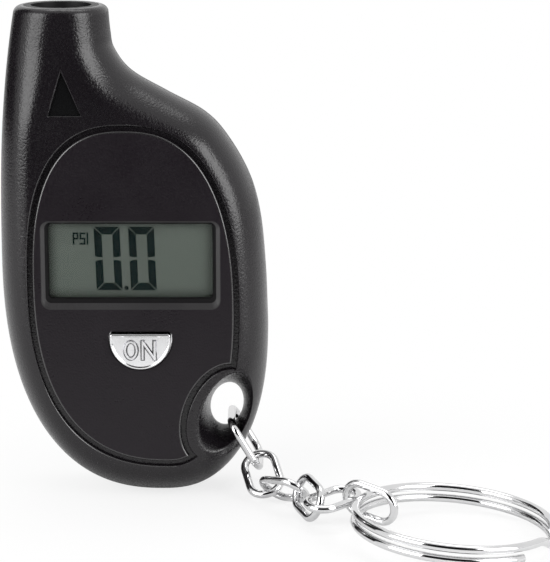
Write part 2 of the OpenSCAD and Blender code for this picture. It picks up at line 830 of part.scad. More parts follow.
module battery_contact_neg() {
    at = [cell_x, -cell_depth];
    color([0.80, 0.75, 0.60])
        union() {
            ycyl(at, 5, tray_back, tray_back + contact_thickness);
            for (a = [30, 150, 270])
                ycyl(at + 3 * [cos(a), sin(a)], 0.8, tray_back, cell_front);
            ybox(cell_x - neg_tail_half, cell_x + neg_tail_half, neg_tail_z, neg_tail_z + contact_thickness,
                board_back, tray_back + contact_thickness);
        }
}

module battery_cell() {
    color([0.75, 0.76, 0.78])
        ycyl([cell_x, -cell_depth], cell_radius, cell_front, cell_back);
}

module battery_cover() {
    at = [cell_x, -cell_depth];
    slot_length = 12;
    color([0.11, 0.11, 0.12])
        difference() {
            union() {
                ycyl(at, cover_radius, skirt_front, half);
                for (k = [0:2])
                    sector(at, cover_radius + lug_reach, 120 * k, lug_angle, skirt_front, lug_back);
            }
            ycyl(at, cover_skirt, skirt_front - over, cover_inner);
            ybox(cell_x - slot_length / 2, cell_x + slot_length / 2, -cell_depth - coin_slot / 2, -cell_depth + coin_slot / 2,
                half - 0.8, half + over);
        }
}

module screw(at, r, length, head, head_height, y) {
    color([0.70, 0.70, 0.72])
        difference() {
            union() {
                ycyl(at, r, y - length, y + 0.1);
                ycyl(at, head, y, y + head_height);
            }
            ybox(at[0] - head * 0.6, at[0] + head * 0.6, at[1] - 0.2, at[1] + 0.2, y + head_height - 0.5, y + head_height + over);
            ybox(at[0] - 0.2, at[0] + 0.2, at[1] - head * 0.6, at[1] + head * 0.6, y + head_height - 0.5, y + head_height + over);
        }
}

module board_screws() {
    for (s = board_screw_at)
        screw(s, board_screw, board_screw_length, board_head, board_head_height, board_back);
}

module case_screws() {
    for (s = case_screw_at)
        screw(s, case_screw, case_screw_length, case_head, case_head_height, case_seat);
}

// Chain: each link's frame, head and tail follow from the one before
link1_dir = [cos(link1_down), 0, -sin(link1_down)];
link1_tail = link1_at + link1_span * link1_dir;
function link_frame(k) = turn_z(link_pose[k][0]) * turn_y(-link_pose[k][1]) * turn_x(link_pose[k][2]);
function column(m, i) = [m[0][i], m[1][i], m[2][i]];
function link_dir(k) = k < 0 ? link1_dir : column(link_frame(k), 0);
function link_cross(k) = k < 0 ? [0, 1, 0] : column(link_frame(k), 1);
function link_tail(k) = k < 0 ? link1_tail + [0, link2_slide, 0] : link_head(k) + link_length * link_dir(k);
function link_head(k) =
    let (c = unit(cross(link_cross(k - 1), link_cross(k))), s = c * (link_dir(k - 1) + link_dir(k)) < 0 ? -1 : 1)
    link_tail(k - 1) - s * (link_wire + link_gap) * c;

module placed(m, at) {
    multmatrix([[m[0][0], m[0][1], m[0][2], at[0]], [m[1][0], m[1][1], m[1][2], at[1]], [m[2][0], m[2][1], m[2][2], at[2]],
        [0, 0, 0, 1]])
        children();
}

// Bent wire of a closed link with straight sides and round corners
module wire_loop(length, width, corner) {
    x = length / 2 - corner;
    y = width / 2 - corner;
    for (c = [[x, y, 0], [-x, y, 90], [-x, -y, 180], [x, -y, 270]])
        translate([c[0], c[1], 0])
            rotate([0, 0, c[2]])
            rotate_extrude(angle = 90)
            translate([corner, 0])
            circle(r = link_wire / 2);
    for (s = [-1, 1])
        translate([-x, s * width / 2, 0])
            rotate([0, 90, 0])
            cylinder(r = link_wire / 2, h = 2 * x);
    if (y > 0)
        for (s = [-1, 1])
            translate([s * length / 2, -y, 0])
                rotate([-90, 0, 0])
                cylinder(r = link_wire / 2, h = 2 * y);
}

module oval_link(k) {
    color(chrome)
        placed(link_frame(k), link_head(k) + link_length / 2 * link_dir(k))
        wire_loop(link_length, link_width, link_width / 2);
}

module chain_link_1() {
    color(chrome)
        placed(turn_y(link1_down), link1_at + link1_span / 2 * link1_dir)
        wire_loop(link1_span, link1_depth, link1_corner);
}

module chain_link_2() {
    oval_link(0);
}

module chain_link_3() {
    oval_link(1);
}

module chain_link_4() {
    oval_link(2);
}

module chain_link_5() {
    oval_link(3);
}

module chain_link_6() {
    oval_link(4);
}

// Split ring: one wire of two flat turns, with a step between them
ring_frame = turn_y(ring_tilt);
ring_middle = [ring_at[0], ring_at[1],
    floor_z + (ring_pitch + ring_wire) / 2 + ring_radius * sin(ring_tilt) + 0.05];
function ring_point(i, r, rise) =
    let (t = ring_sweep * i / ring_segments, a = ring_turn - t,
        z = ring_pitch * (smooth(ring_step[0], ring_step[1], t) - 0.5) + rise)
    ring_middle + ring_frame * [r * cos(a), r * sin(a), z];
ring_spine = [for (i = [0:ring_segments]) ring_point(i, ring_radius, 0)];
ring_least = min([for (i = [0:ring_segments - 12]) for (j = [i + 12:ring_segments])
    norm(ring_spine[i] - ring_spine[j])]) - ring_wire;
echo(ring_least_gap = ring_least);

module split_ring() {
    n = ring_sides;
    // Corner radius that keeps the wire's flats at its true diameter
    c = ring_wire / 2;
    points = [for (i = [0:ring_segments], j = [0:n - 1])
        ring_point(i, ring_radius + c * cos(360 * j / n + 30), c * sin(360 * j / n + 30))];
    walls = [for (i = [0:ring_segments - 1], j = [0:n - 1], h = [0, 1])
        let (a = i * n + j, b = i * n + (j + 1) % n) h == 0 ? [a, b + n, b] : [a, a + n, b + n]];
    ends = [for (j = [1:n - 2], h = [0, 1])
        let (z = ring_segments * n) h == 0 ? [0, j, j + 1] : [z, z + j + 1, z + j]];
    color(chrome)
        polyhedron(points, concat(walls, ends), convexity = 6);
}

front_shell();
rear_shell();
face_panel();
lcd_lens();
lcd_front_glass();
lcd_rear_glass();
lcd_reflector();
lcd_frame();
zebra_strips();
circuit_board();
chip_blob();
pressure_sensor();
air_tube();
valve_socket();
valve_seal();
valve_pin();
on_button();
switch_body();
switch_plunger();
battery_tray();
battery_cell();
battery_contact_neg();
battery_contact_pos();
battery_cover();
board_screws();
case_screws();
chain_link_1();
chain_link_2();
chain_link_3();
chain_link_4();
chain_link_5();
chain_link_6();
split_ring();
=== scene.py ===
import math

import bmesh
import bpy
from mathutils import Matrix, Vector
from mathutils.bvhtree import BVHTree
from mathutils.interpolate import poly_3d_calc


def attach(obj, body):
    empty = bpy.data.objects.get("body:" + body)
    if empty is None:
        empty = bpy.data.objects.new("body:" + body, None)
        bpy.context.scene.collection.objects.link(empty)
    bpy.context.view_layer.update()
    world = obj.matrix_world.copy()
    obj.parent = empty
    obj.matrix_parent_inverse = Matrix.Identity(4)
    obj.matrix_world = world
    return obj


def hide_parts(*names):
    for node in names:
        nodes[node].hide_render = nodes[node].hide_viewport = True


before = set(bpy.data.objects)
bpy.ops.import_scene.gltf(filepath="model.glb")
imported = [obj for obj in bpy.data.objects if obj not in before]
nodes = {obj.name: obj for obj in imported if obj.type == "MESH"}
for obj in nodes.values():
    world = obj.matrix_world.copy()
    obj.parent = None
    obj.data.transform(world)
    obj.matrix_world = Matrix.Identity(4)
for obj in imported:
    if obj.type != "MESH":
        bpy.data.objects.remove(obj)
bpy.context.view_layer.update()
print("frame loaded with", len(nodes), "solids")

# lengths below are in millimetres, meshes are in metres
mm = 0.001


# small helpers
def mixed(a, b, t):
    return a + (b - a) * t


def smooth(a, b, v):
    t = min(1.0, max(0.0, (v - a) / (b - a)))
    return t * t * (3 - 2 * t)


def turns(count):
    return [2 * math.pi * i / count for i in range(count)]


# the last place from low to high where a test still holds
def lastPlace(low, high, holds, rounds):
    for _ in range(rounds):
        middle = (low + high) / 2
        if holds(middle):
            low = middle
        else:
            high = middle
    return low


# a node with its settings, and a value or a link for each input that is named
def addNode(tree, kind, inputs=None, **settings):
    node = tree.nodes.new(kind)
    for key, value in settings.items():
        setattr(node, key, value)
    for key, value in (inputs or {}).items():
        if isinstance(value, bpy.types.NodeSocket):
            tree.links.new(value, node.inputs[key])
        else:
            node.inputs[key].default_value = value
    return node


# one maths step of a shader or geometry tree
def mathNode(tree, operation, *values):
    return addNode(tree, "ShaderNodeMath", dict(enumerate(values)), operation=operation).outputs[0]


# one span of values mapped onto another, in a straight line or with soft ends
def mapped(tree, value, source, target, soft=False):
    spans = {"Value": value, "From Min": source[0], "From Max": source[1],
             "To Min": target[0], "To Max": target[1]}
    kind = "SMOOTHSTEP" if soft else "LINEAR"
    return addNode(tree, "ShaderNodeMapRange", spans, interpolation_type=kind).outputs["Result"]


# a group with named number inputs: the group, its inputs seen from inside and the sockets of its results
def nodeGroup(name, kind, inputs, outputs, result="NodeSocketFloat"):
    group = bpy.data.node_groups.new(name, kind)
    for label in inputs:
        group.interface.new_socket(label, in_out="INPUT", socket_type="NodeSocketFloat")
    for label in outputs:
        group.interface.new_socket(label, in_out="OUTPUT", socket_type=result)
    return group, group.nodes.new("NodeGroupInput").outputs, group.nodes.new("NodeGroupOutput").inputs


def dress(piece, *finishes):
    piece.data.materials.clear()
    for mat in finishes:
        piece.data.materials.append(mat)


def newObject(name, mesh):
    obj = bpy.data.objects.new(name, mesh)
    bpy.context.scene.collection.objects.link(obj)
    return obj


def meshFrom(name, points, faces, weld=True):
    mesh = bpy.data.meshes.new(name)
    mesh.from_pydata([Vector(p) * mm for p in points], [], faces)
    bm = bmesh.new()
    bm.from_mesh(mesh)
    if weld:
        bmesh.ops.remove_doubles(bm, verts=bm.verts, dist=1e-7)
        bmesh.ops.dissolve_degenerate(bm, edges=bm.edges, dist=1e-8)
    bmesh.ops.recalc_face_normals(bm, faces=bm.faces)
    bm.to_mesh(mesh)
    bm.free()
    return mesh


# four-sided faces between rows of equal count, closed round each row
def bandFaces(count, rows):
    faces = []
    for k in range(rows - 1):
        for i in range(count):
            j = (i + 1) % count
            faces.append((k * count + i, k * count + j, (k + 1) * count + j, (k + 1) * count + i))
    return faces


# closed body through loops of equal count, the first and last loop are capped
def lofted(name, loops):
    count = len(loops[0])
    points = [p for loop in loops for p in loop]
    faces = bandFaces(count, len(loops))
    last = (len(loops) - 1) * count
    faces.append(tuple(range(count)))
    faces.append(tuple(range(last, last + count)))
    return newObject(name, meshFrom(name, points, faces))


def atDepth(ring, y):
    return [(p[0], y, p[1]) for p in ring]


def circle(x, z, radius, y, sides):
    return [(x + radius * math.cos(a), y, z + radius * math.sin(a)) for a in turns(sides)]


def post(name, x, z, radius, y0, y1, sides=64):
    return lofted(name, [circle(x, z, radius, y, sides) for y in (y0, y1)])


def slab(name, x0, x1, z0, z1, y0, y1):
    ring = [(x0, z0), (x1, z0), (x1, z1), (x0, z1)]
    return lofted(name, [atDepth(ring, y) for y in (y0, y1)])


# part of a disc in the plane of the face
def wedge(name, x, z, radius, middle, wide, y0, y1):
    steps = 24
    ring = [(x, z)]
    for i in range(steps + 1):
        a = math.radians(middle + wide * (i / steps - 0.5))
        ring.append((x + radius * math.cos(a), z + radius * math.sin(a)))
    return lofted(name, [atDepth(ring, y) for y in (y0, y1)])


def combine(base, others, operation):
    for other in others:
        mod = base.modifiers.new("combine", "BOOLEAN")
        mod.operation = operation
        mod.solver = "MANIFOLD"
        mod.object = other
    settled(base)
    for other in others:
        old = other.data
        bpy.data.objects.remove(other)
        bpy.data.meshes.remove(old)
    return base


# turns live modifiers into a plain mesh
def settled(obj):
    bpy.context.view_layer.update()
    evaluated = obj.evaluated_get(bpy.context.evaluated_depsgraph_get())
    mesh = bpy.data.meshes.new_from_object(evaluated)
    old = obj.data
    obj.modifiers.clear()
    obj.data = mesh
    bpy.data.meshes.remove(old)
    return obj


# smooth shading that keeps flat faces flat and creases crisp
def shaded(obj, angle=32):
    bm = bmesh.new()
    bm.from_mesh(obj.data)
    bmesh.ops.triangulate(bm, faces=[f for f in bm.faces if len(f.verts) > 4])
    bmesh.ops.remove_doubles(bm, verts=bm.verts, dist=5e-7)
    bmesh.ops.dissolve_degenerate(bm, edges=bm.edges, dist=1e-7)
    bm.to_mesh(obj.data)
    bm.free()
    obj.data.polygons.foreach_set("use_smooth", [True] * len(obj.data.polygons))
    obj.data.set_sharp_from_angle(angle=math.radians(angle))
    mod = obj.modifiers.new("weigh", "WEIGHTED_NORMAL")
    mod.keep_sharp = True
    mod.weight = 60
    return settled(obj)


# flat faces get their own normal, and what is left of an uncut form keeps that form's normals
def crisped(obj, form=None):
    mesh = obj.data
    normals = [Vector(n.vector) for n in mesh.corner_normals]
    tree = BVHTree.FromBMesh(form) if form else None
    if form:
        form.normal_update()
        form.faces.ensure_lookup_table()
    for face in mesh.polygons:
        level = abs(face.normal.y) > 0.99999
        near = tree.find_nearest(face.center) if form and not level else None
        if level:
            for k in face.loop_indices:
                normals[k] = face.normal.copy()
        elif near and near[3] < 1.2e-5 and near[1].dot(face.normal) > 0.95:
            for k in face.loop_indices:
                at = mesh.vertices[mesh.loops[k].vertex_index].co
                if abs(at.y) > 0.0003:
                    spot = tree.find_nearest(at)
                    corners = form.faces[spot[2]].verts
                    shares = poly_3d_calc([v.co for v in corners], spot[0])
                    normals[k] = sum((v.normal * w for v, w in zip(corners, shares)), Vector()).normalized()
    mesh.normals_split_custom_set(normals)
    return obj


# camera as in the photograph
view = {"lens": 155.66, "at": (32.03, -364, 38.9), "tilt": 77.41}
cameraData = bpy.data.cameras.new("camera")
cameraData.sensor_width = 36
cameraData.lens = view["lens"]
cameraData.clip_start = 0.01
cameraData.clip_end = 20
camera = bpy.data.objects.new("camera", cameraData)
camera.location = Vector(view["at"]) * mm
camera.rotation_euler = (math.radians(view["tilt"]), 0, 0)
bpy.context.scene.collection.objects.link(camera)
bpy.context.scene.camera = camera
print("camera set")


# finishes

# fine grain of a moulded surface, and a slow change over it
def grainGroup():
    group, given, out = nodeGroup("mouldedGrain", "ShaderNodeTree", ["Fine Scale", "Slow Scale"],
                                  ["Height", "Slow"])
    place = addNode(group, "ShaderNodeTexCoord").outputs["Object"]
    fine = addNode(group, "ShaderNodeTexNoise",
                   {"Vector": place, "Scale": given["Fine Scale"], "Detail": 1, "Roughness": 0.5})
    slow = addNode(group, "ShaderNodeTexNoise", {"Vector": place, "Scale": given["Slow Scale"], "Detail": 4})
    group.links.new(fine.outputs["Fac"], out["Height"])
    group.links.new(slow.outputs["Fac"], out["Slow"])
    return group


# hairline scuffs, thin stretched noise in two directions
def scuffGroup():
    group, given, out = nodeGroup("hairScuffs", "ShaderNodeTree", ["Scale"], ["Scuff"])
    place = addNode(group, "ShaderNodeTexCoord").outputs["Object"]
    masks = []
    for turn, stretch in (((0.3, 0.5, 0.4), (1, 14, 1)), ((1.2, 0.2, -0.7), (1, 1, 16))):
        mapping = addNode(group, "ShaderNodeMapping", {"Vector": place, "Rotation": turn, "Scale": stretch})
        noise = addNode(group, "ShaderNodeTexNoise",
                        {"Vector": mapping.outputs["Vector"], "Scale": given["Scale"], "Detail": 2})
        masks.append(mapped(group, noise.outputs["Fac"], (0.62, 0.74), (0, 1)))
    group.links.new(mathNode(group, "MAXIMUM", *masks), out["Scuff"])
    return group


grain = grainGroup()
scuffs = scuffGroup()
grainDepth = 0.05


# one finish: two close colours, a span of roughness, grain height and scuffs
def finish(name, dark, light, rough, bump=0.0, fineScale=4000, slowScale=90, scuff=0.0, scuffScale=300,
           metallic=0.0, specular=0.5, transmission=0.0, ior=1.5, speckle=0.0):
    mat = bpy.data.materials.new(name)
    mat.use_nodes = True
    tree = mat.node_tree
    shader = tree.nodes["Principled BSDF"].inputs
    shader["Metallic"].default_value = metallic
    shader["Specular IOR Level"].default_value = specular
    shader["IOR"].default_value = ior
    shader["Transmission Weight"].default_value = transmission
    scales = {"Fine Scale": fineScale, "Slow Scale": slowScale}
    pattern = addNode(tree, "ShaderNodeGroup", scales, node_tree=grain).outputs
    colours = {"Factor": pattern["Slow"], "A": (*dark, 1), "B": (*light, 1)}
    tint = addNode(tree, "ShaderNodeMix", colours, data_type="RGBA")
    tree.links.new(tint.outputs["Result"], shader["Base Color"])
    roughness = mapped(tree, pattern["Slow"], (0.3, 0.7), rough)
    if speckle:
        dots = mapped(tree, pattern["Height"], (0.35, 0.65), (-speckle, speckle))
        roughness = mathNode(tree, "ADD", dots, roughness)
    if scuff:
        hair = addNode(tree, "ShaderNodeGroup", {"Scale": scuffScale}, node_tree=scuffs)
        roughness = mathNode(tree, "MULTIPLY_ADD", hair.outputs["Scuff"], scuff, roughness)
    tree.links.new(roughness, shader["Roughness"])
    if bump:
        relief = addNode(tree, "ShaderNodeBump",
                         {"Strength": bump, "Distance": grainDepth * mm, "Height": pattern["Height"]})
        tree.links.new(relief.outputs["Normal"], shader["Normal"])
    return mat


satinBlack = finish("satinBlack", (0.0046, 0.0036, 0.0047), (0.0072, 0.0058, 0.0074), (0.22, 0.27), bump=0.75,
                    fineScale=3300, scuff=0.02, scuffScale=700, specular=0.44, speckle=0.05)
panelBlack = finish("panelBlack", (0.0058, 0.0040, 0.0058), (0.0080, 0.0058, 0.0082), (0.30, 0.38), bump=0.8,
                    fineScale=3600, specular=0.27, scuff=0.02, scuffScale=700, speckle=0.05)
# a lighter black for the lip round the window: its lighter colour is a painted highlight, its higher
# roughness a real finish
lipHighlightBlack = finish("lipHighlightBlack", (0.013, 0.012, 0.013), (0.018, 0.017, 0.018), (0.40, 0.48), bump=0.6,
                  fineScale=3600, specular=0.45)
# a darker, matt black for the window's steep inner walls: the darker colour is painted shade
wallShadeBlack = finish("wallShadeBlack", (0.0022, 0.0020, 0.0023), (0.0036, 0.0033, 0.0038), (0.60, 0.75), bump=0.4,
                   specular=0.12)
# a lighter, glossier black for the soft lips beside the groove round the panel: the gloss is real, the
# lighter colour is a painted highlight
edgeHighlightBlack = finish("edgeHighlightBlack", (0.010, 0.009, 0.010), (0.015, 0.014, 0.015), (0.20, 0.26), bump=0.2,
                   specular=0.9)
arrowBlack = finish("arrowBlack", (0.0030, 0.0030, 0.0033), (0.0045, 0.0045, 0.0048), (0.20, 0.28), bump=0.5,
                    specular=0.25)
socketBlack = finish("socketBlack", (0.0045, 0.0045, 0.0050), (0.008, 0.008, 0.0085), (0.45, 0.55), bump=0.4,
                     specular=0.3)
rubberBlack = finish("rubberBlack", (0.006, 0.006, 0.006), (0.011, 0.011, 0.011), (0.7, 0.85), bump=0.8,
                     fineScale=6000, specular=0.3)
chromeSteel = finish("chromeSteel", (0.62, 0.62, 0.63), (0.73, 0.73, 0.73), (0.05, 0.11), scuff=0.12,
                     metallic=1.0, slowScale=240)
chromePlate = finish("chromePlate", (0.72, 0.72, 0.73), (0.82, 0.82, 0.83), (0.10, 0.18), scuff=0.08,
                     metallic=1.0, slowScale=200)
chromeShade = finish("chromeShade", (0.20, 0.20, 0.21), (0.30, 0.30, 0.31), (0.16, 0.24), scuff=0.05,
                     metallic=1.0, slowScale=200)
screwSteel = finish("screwSteel", (0.42, 0.42, 0.43), (0.58, 0.58, 0.58), (0.25, 0.4), scuff=0.15,
                    metallic=1.0)
brass = finish("brass", (0.60, 0.42, 0.17), (0.72, 0.55, 0.27), (0.25, 0.35), scuff=0.1, metallic=1.0)
cellSteel = finish("cellSteel", (0.50, 0.50, 0.50), (0.64, 0.64, 0.63), (0.28, 0.36), scuff=0.2, metallic=1.0)
boardGreen = finish("boardGreen", (0.010, 0.11, 0.045), (0.016, 0.16, 0.07), (0.25, 0.4), bump=0.2)
# a near-black for the display's frame: its dark colour is painted shade along the border of the display
frameShadeBlack = finish("frameShadeBlack", (0.020, 0.020, 0.021), (0.032, 0.032, 0.033), (0.45, 0.6), bump=0.3)
stripRubber = finish("stripRubber", (0.50, 0.24, 0.28), (0.60, 0.30, 0.34), (0.6, 0.7), bump=0.3)
sensorPlastic = finish("sensorPlastic", (0.50, 0.49, 0.43), (0.60, 0.59, 0.53), (0.35, 0.5), bump=0.3)
tubeRubber = finish("tubeRubber", (0.46, 0.46, 0.48), (0.58, 0.58, 0.60), (0.4, 0.55), bump=0.3)
plungerRed = finish("plungerRed", (0.30, 0.03, 0.02), (0.40, 0.05, 0.035), (0.35, 0.45), bump=0.3)
reflectorPale = finish("reflectorPale", (0.52, 0.56, 0.50), (0.60, 0.63, 0.58), (0.4, 0.5), bump=0.2)
displayGreen = finish("displayGreen", (0.072, 0.082, 0.073), (0.083, 0.093, 0.084), (0.34, 0.40),
                      slowScale=60, specular=0.2)
segmentDark = finish("segmentDark", (0.0025, 0.0065, 0.0065), (0.0045, 0.0095, 0.0095), (0.50, 0.60),
                     slowScale=400, specular=0.0)
lensClear = finish("lensClear", (0.93, 0.96, 0.94), (0.96, 0.98, 0.96), (0.01, 0.03), transmission=1.0,
                   ior=1.2)
print("finishes made")

nodeFinish = {
    "lcd_front_glass": displayGreen, "lcd_rear_glass": displayGreen, "lcd_reflector": reflectorPale,
    "lcd_frame": frameShadeBlack, "zebra_strips": stripRubber, "circuit_board": boardGreen,
    "chip_blob": socketBlack, "pressure_sensor": sensorPlastic, "air_tube": tubeRubber,
    "valve_socket": socketBlack, "valve_seal": rubberBlack, "valve_pin": brass,
    "switch_body": socketBlack, "switch_plunger": plungerRed, "battery_tray": socketBlack,
    "battery_cell": cellSteel, "battery_contact_neg": brass, "battery_contact_pos": brass,
    "battery_cover": satinBlack, "board_screws": screwSteel,
}
for name, mat in nodeFinish.items():
    dress(nodes[name], mat)


# body shells
body = {
    "length": 75.0, "nozzle": 7.0, "left": 9.7, "right": 31.0, "bottomX": 14.8, "bellyRise": 26.5,
    "half": 8.0, "beyond": 12.0, "wall": 1.8, "edge": 5.2, "rim": 1.0, "neckTop": 5.0, "neckBottom": 18.0,
    "nozzleFlat": 0.5, "finInset": 4.8, "finReach": 13.0, "seam": 0.1, "seamHeight": 0.2,
    "leftPower": 2.5, "roundPower": 2.4, "roomTop": 13.5, "neckRows": 96, "roundRows": 72, "edgeSteps": 20,
}
# form of the right side, as shares of depth and of width
sideForm = [(0, 0), (0.085, 0.015), (0.134, 0.036), (0.203, 0.143), (0.266, 0.36), (0.328, 0.59),
            (0.392, 0.722), (0.5175, 0.873), (0.64, 0.947), (0.81, 0.984), (1, 1)]
depthLeft = body["length"] / 2
depthRight = body["length"] - body["bellyRise"]
finAt = (body["right"] - 2.5, 10 - body["length"])


def knotSlope(j):
    a, b = max(j - 1, 0), min(j + 1, len(sideForm) - 1)
    return (sideForm[b][1] - sideForm[a][1]) / (sideForm[b][0] - sideForm[a][0])


def sideCurve(u):
    i = max(j for j in range(len(sideForm) - 1) if sideForm[j][0] <= u)
    h = sideForm[i + 1][0] - sideForm[i][0]
    t = (u - sideForm[i][0]) / h
    return ((1 + 2 * t) * (1 - t) ** 2 * sideForm[i][1] + t * (1 - t) ** 2 * h * knotSlope(i)
            + t * t * (3 - 2 * t) * sideForm[i + 1][1] + t * t * (t - 1) * h * knotSlope(i + 1))


def bottomRound(d, start):
    power = body["roundPower"]
    return max(0.0, 1 - ((d - start) / (body["length"] - start)) ** power) ** (1 / power)


def sideLeft(d):
    if d < depthLeft:
        return -mixed(body["nozzle"], body["left"], 1 - (1 - d / depthLeft) ** body["leftPower"])
    return mixed(body["bottomX"], -body["left"], bottomRound(d, depthLeft))


def sideRight(d):
    if d < depthRight:
        return mixed(body["nozzle"], body["right"], sideCurve(d / depthRight))
    return mixed(body["bottomX"], body["right"], bottomRound(d, depthRight))


def thickAt(d):
    return mixed(body["nozzle"], body["half"], smooth(body["neckTop"], body["neckBottom"], d))


def insetAt(x, z):
    far = math.hypot(x - finAt[0], z - finAt[1]) / body["finReach"]
    plain = mixed(body["nozzle"] - body["nozzleFlat"], body["edge"],
                  smooth(body["neckTop"] + 2, body["neckBottom"] + 2, -z))
    return plain + body["finInset"] * max(0.0, 1 - far * far) ** 2


def rimAt(d):
    r = body["rim"]
    return 0.0 if d >= r else r - math.sqrt(r * r - (r - d) ** 2)


# half of the body between the parting plane and one face
def halfForm(name, rows, skin, angles, side, seam=0.0):
    line = [(sideLeft(d), -d) for d in rows] + [(sideRight(d), -d) for d in reversed(rows[:-1])]
    count = len(line)
    inward = []
    for i, p in enumerate(line):
        if i in (0, count - 1):
            inward.append((1.0, 0.0) if i == 0 else (-1.0, 0.0))
            continue
        t = Vector((line[i + 1][0] - line[i - 1][0], line[i + 1][1] - line[i - 1][1])).normalized()
        level = smooth(body["rim"], body["neckBottom"], -p[1])
        inward.append(tuple(Vector((-t[1], t[0] * level)).normalized()))
    points = []
    for k, a in enumerate(angles):
        for p, n in zip(line, inward):
            e = rimAt(-p[1]) + skin
            s = e + max(insetAt(*p) - e, 0.4) * (1 - math.cos(a)) + (seam if k == 0 else 0)
            x, z = p[0] + n[0] * s, p[1] + n[1] * s
            points.append((x, side * (thickAt(-z) - e) * math.sin(a), z))
    faces = bandFaces(count, len(angles))
    for k in (0, len(angles) - 1):
        for i in range((count - 1) // 2):
            a, b = k * count + i, k * count + count - 1 - i
            faces.append((a, a + 1, b - 1, b) if a + 1 != b - 1 else (a, a + 1, b))
    return newObject(name, meshFrom(name, points, faces))


def rowDepths(first, upper, lower):
    top = [mixed(first, depthLeft, i / upper) for i in range(upper)]
    angles = [math.pi / 2 * j / lower for j in range(lower, -1, -1)]
    return top + [body["length"] - (body["length"] - depthLeft) * (1 - math.cos(a)) for a in angles]


def outerHalf(name, side):
    rim = [body["rim"] * (1 - math.cos(math.radians(a))) for a in range(0, 88, 8)]
    start = math.asin(body["seamHeight"] / body["half"])
    angles = [0.0] + [mixed(start, math.pi / 2, k / body["edgeSteps"]) for k in range(body["edgeSteps"] + 1)]
    rows = rim + rowDepths(body["rim"], body["neckRows"], body["roundRows"])
    return halfForm(name, rows, 0.0, angles, side, body["seam"])


# key hole: its middle, its halves and how they grow towards the faces
keyHole = {"x": 24.6, "z": -61.8, "halfHeight": 3.5, "halfWidth": 2.5, "tilt": 12.0, "flareTilt": 22.0,
           "shift": (1.0, 0.2), "grow": (3.9, 2.4), "power": 1.5, "boss": 8.8, "bossAt": (23.6, -61.2),
           "lip": 0.9, "lipFrom": 26.0, "lipTo": 70.0, "lipSteps": 7, "spread": 1.6, "rows": 12, "sides": 96}


def ovalPoint(x, z, long, short, tilt, angle):
    u, v = long * math.cos(angle), short * math.sin(angle)
    s, c = math.sin(math.radians(tilt)), math.cos(math.radians(tilt))
    return x + u * s + v * c, z + u * c - v * s


def keyPoint(y, angle, grow=0.0):
    f = (max(0.0, y) / body["half"]) ** keyHole["power"]
    return ovalPoint(keyHole["x"] + keyHole["shift"][0] * f, keyHole["z"] + keyHole["shift"][1] * f,
                     keyHole["halfHeight"] + keyHole["grow"][0] * f + grow,
                     keyHole["halfWidth"] + keyHole["grow"][1] * f + grow,
                     mixed(keyHole["tilt"], keyHole["flareTilt"], min(1.0, f)), angle)


def surfaceHeight(tree, x, z, side):
    hit = tree.ray_cast(Vector((x, side * 30, z)) * mm, Vector((0, -side, 0)))
    return abs(hit[0].y) / mm if hit[0] else 0.0


# cutter with a soft lip where the hole meets the outside
def keyCutter(name, tree, side):
    lip, rows, steps = keyHole["lip"], keyHole["rows"], keyHole["lipSteps"]
    first, last = math.radians(keyHole["lipFrom"]), math.radians(keyHole["lipTo"])
    angles = turns(keyHole["sides"])
    tops = [lastPlace(0.0, body["half"], lambda y: surfaceHeight(tree, *keyPoint(y, a), side) > y, 30)
            for a in angles]
    starts = [top - lip * (math.sin(last) - math.sin(first)) for top in tops]
    loops = [atDepth([keyPoint(0, a) for a in angles], -side)]
    for k in range(rows + 1):
        loop = []
        for a, s in zip(angles, starts):
            p = keyPoint(s * k / rows, a)
            loop.append((p[0], side * s * k / rows, p[1]))
        loops.append(loop)
    for k in range(1, steps + 2):
        t = mixed(first, last, min(k, steps) / steps)
        loop = []
        for a, s in zip(angles, starts):
            out = lip * (math.cos(first) - math.cos(t))
            y = s + lip * (math.sin(t) - math.sin(first))
            if k > steps:
                out += keyHole["spread"] * math.sin(last)
                y += keyHole["spread"] * math.cos(last)
            p = keyPoint(s, a, out)
            loop.append((p[0], side * y, p[1]))
        loops.append(loop)
    loops.append([(p[0], side * body["beyond"], p[2]) for p in loops[-1]])
    return lofted(name, loops)


# face panel: an egg of four round quarters, less the border of the key hole
panel = {"left": -4.1, "right": 25.55, "top": -18.2, "bottom": -68.5, "crownX": 9.5, "footX": 16.0,
         "wideLeft": -40.3, "wideRight": -46.5, "powers": (2.45, 2.55, 2.45, 2.15),
         "keyAt": (23.6, -61.5), "keyHalf": (8.6, 5.7), "thick": 0.8, "groove": 1.05, "fill": 0.3,
         "lip": 0.4, "lipTo": 60.0, "lipSteps": 6, "spread": 1.2, "edge": 0.3,
         "eggCount": 240, "keyCount": 90}
panelBack = -body["half"] + panel["thick"]
webBack = -body["half"] + body["wall"]


def eggPoint(angle, grow):
    c, s = math.cos(angle), math.sin(angle)
    n = 2 / panel["powers"][int(angle / (math.pi / 2)) % 4]
    x = panel["crownX"] if s >= 0 else panel["footX"]
    z = panel["wideRight"] if c >= 0 else panel["wideLeft"]
    w = (panel["right"] - x if c >= 0 else x - panel["left"]) + grow
    h = (panel["top"] - z if s >= 0 else z - panel["bottom"]) + grow
    return x + w * math.copysign(abs(c) ** n, c), z + h * math.copysign(abs(s) ** n, s)


def inKeyOval(p, grow):
    dx, dz = p[0] - panel["keyAt"][0], p[1] - panel["keyAt"][1]
    s, c = math.sin(math.radians(keyHole["flareTilt"])), math.cos(math.radians(keyHole["flareTilt"]))
    return (dx * s + dz * c) / (panel["keyHalf"][0] - grow), (dx * c - dz * s) / (panel["keyHalf"][1] - grow)


def evenly(points, count):
    lengths = [0.0]
    for a, b in zip(points, points[1:]):
        lengths.append(lengths[-1] + math.hypot(b[0] - a[0], b[1] - a[1]))
    out, k = [], 0
    for i in range(count):
        want = lengths[-1] * i / count
        while lengths[k + 1] < want:
            k += 1
        t = (want - lengths[k]) / max(1e-9, lengths[k + 1] - lengths[k])
        out.append((mixed(points[k][0], points[k + 1][0], t), mixed(points[k][1], points[k + 1][1], t)))
    return out


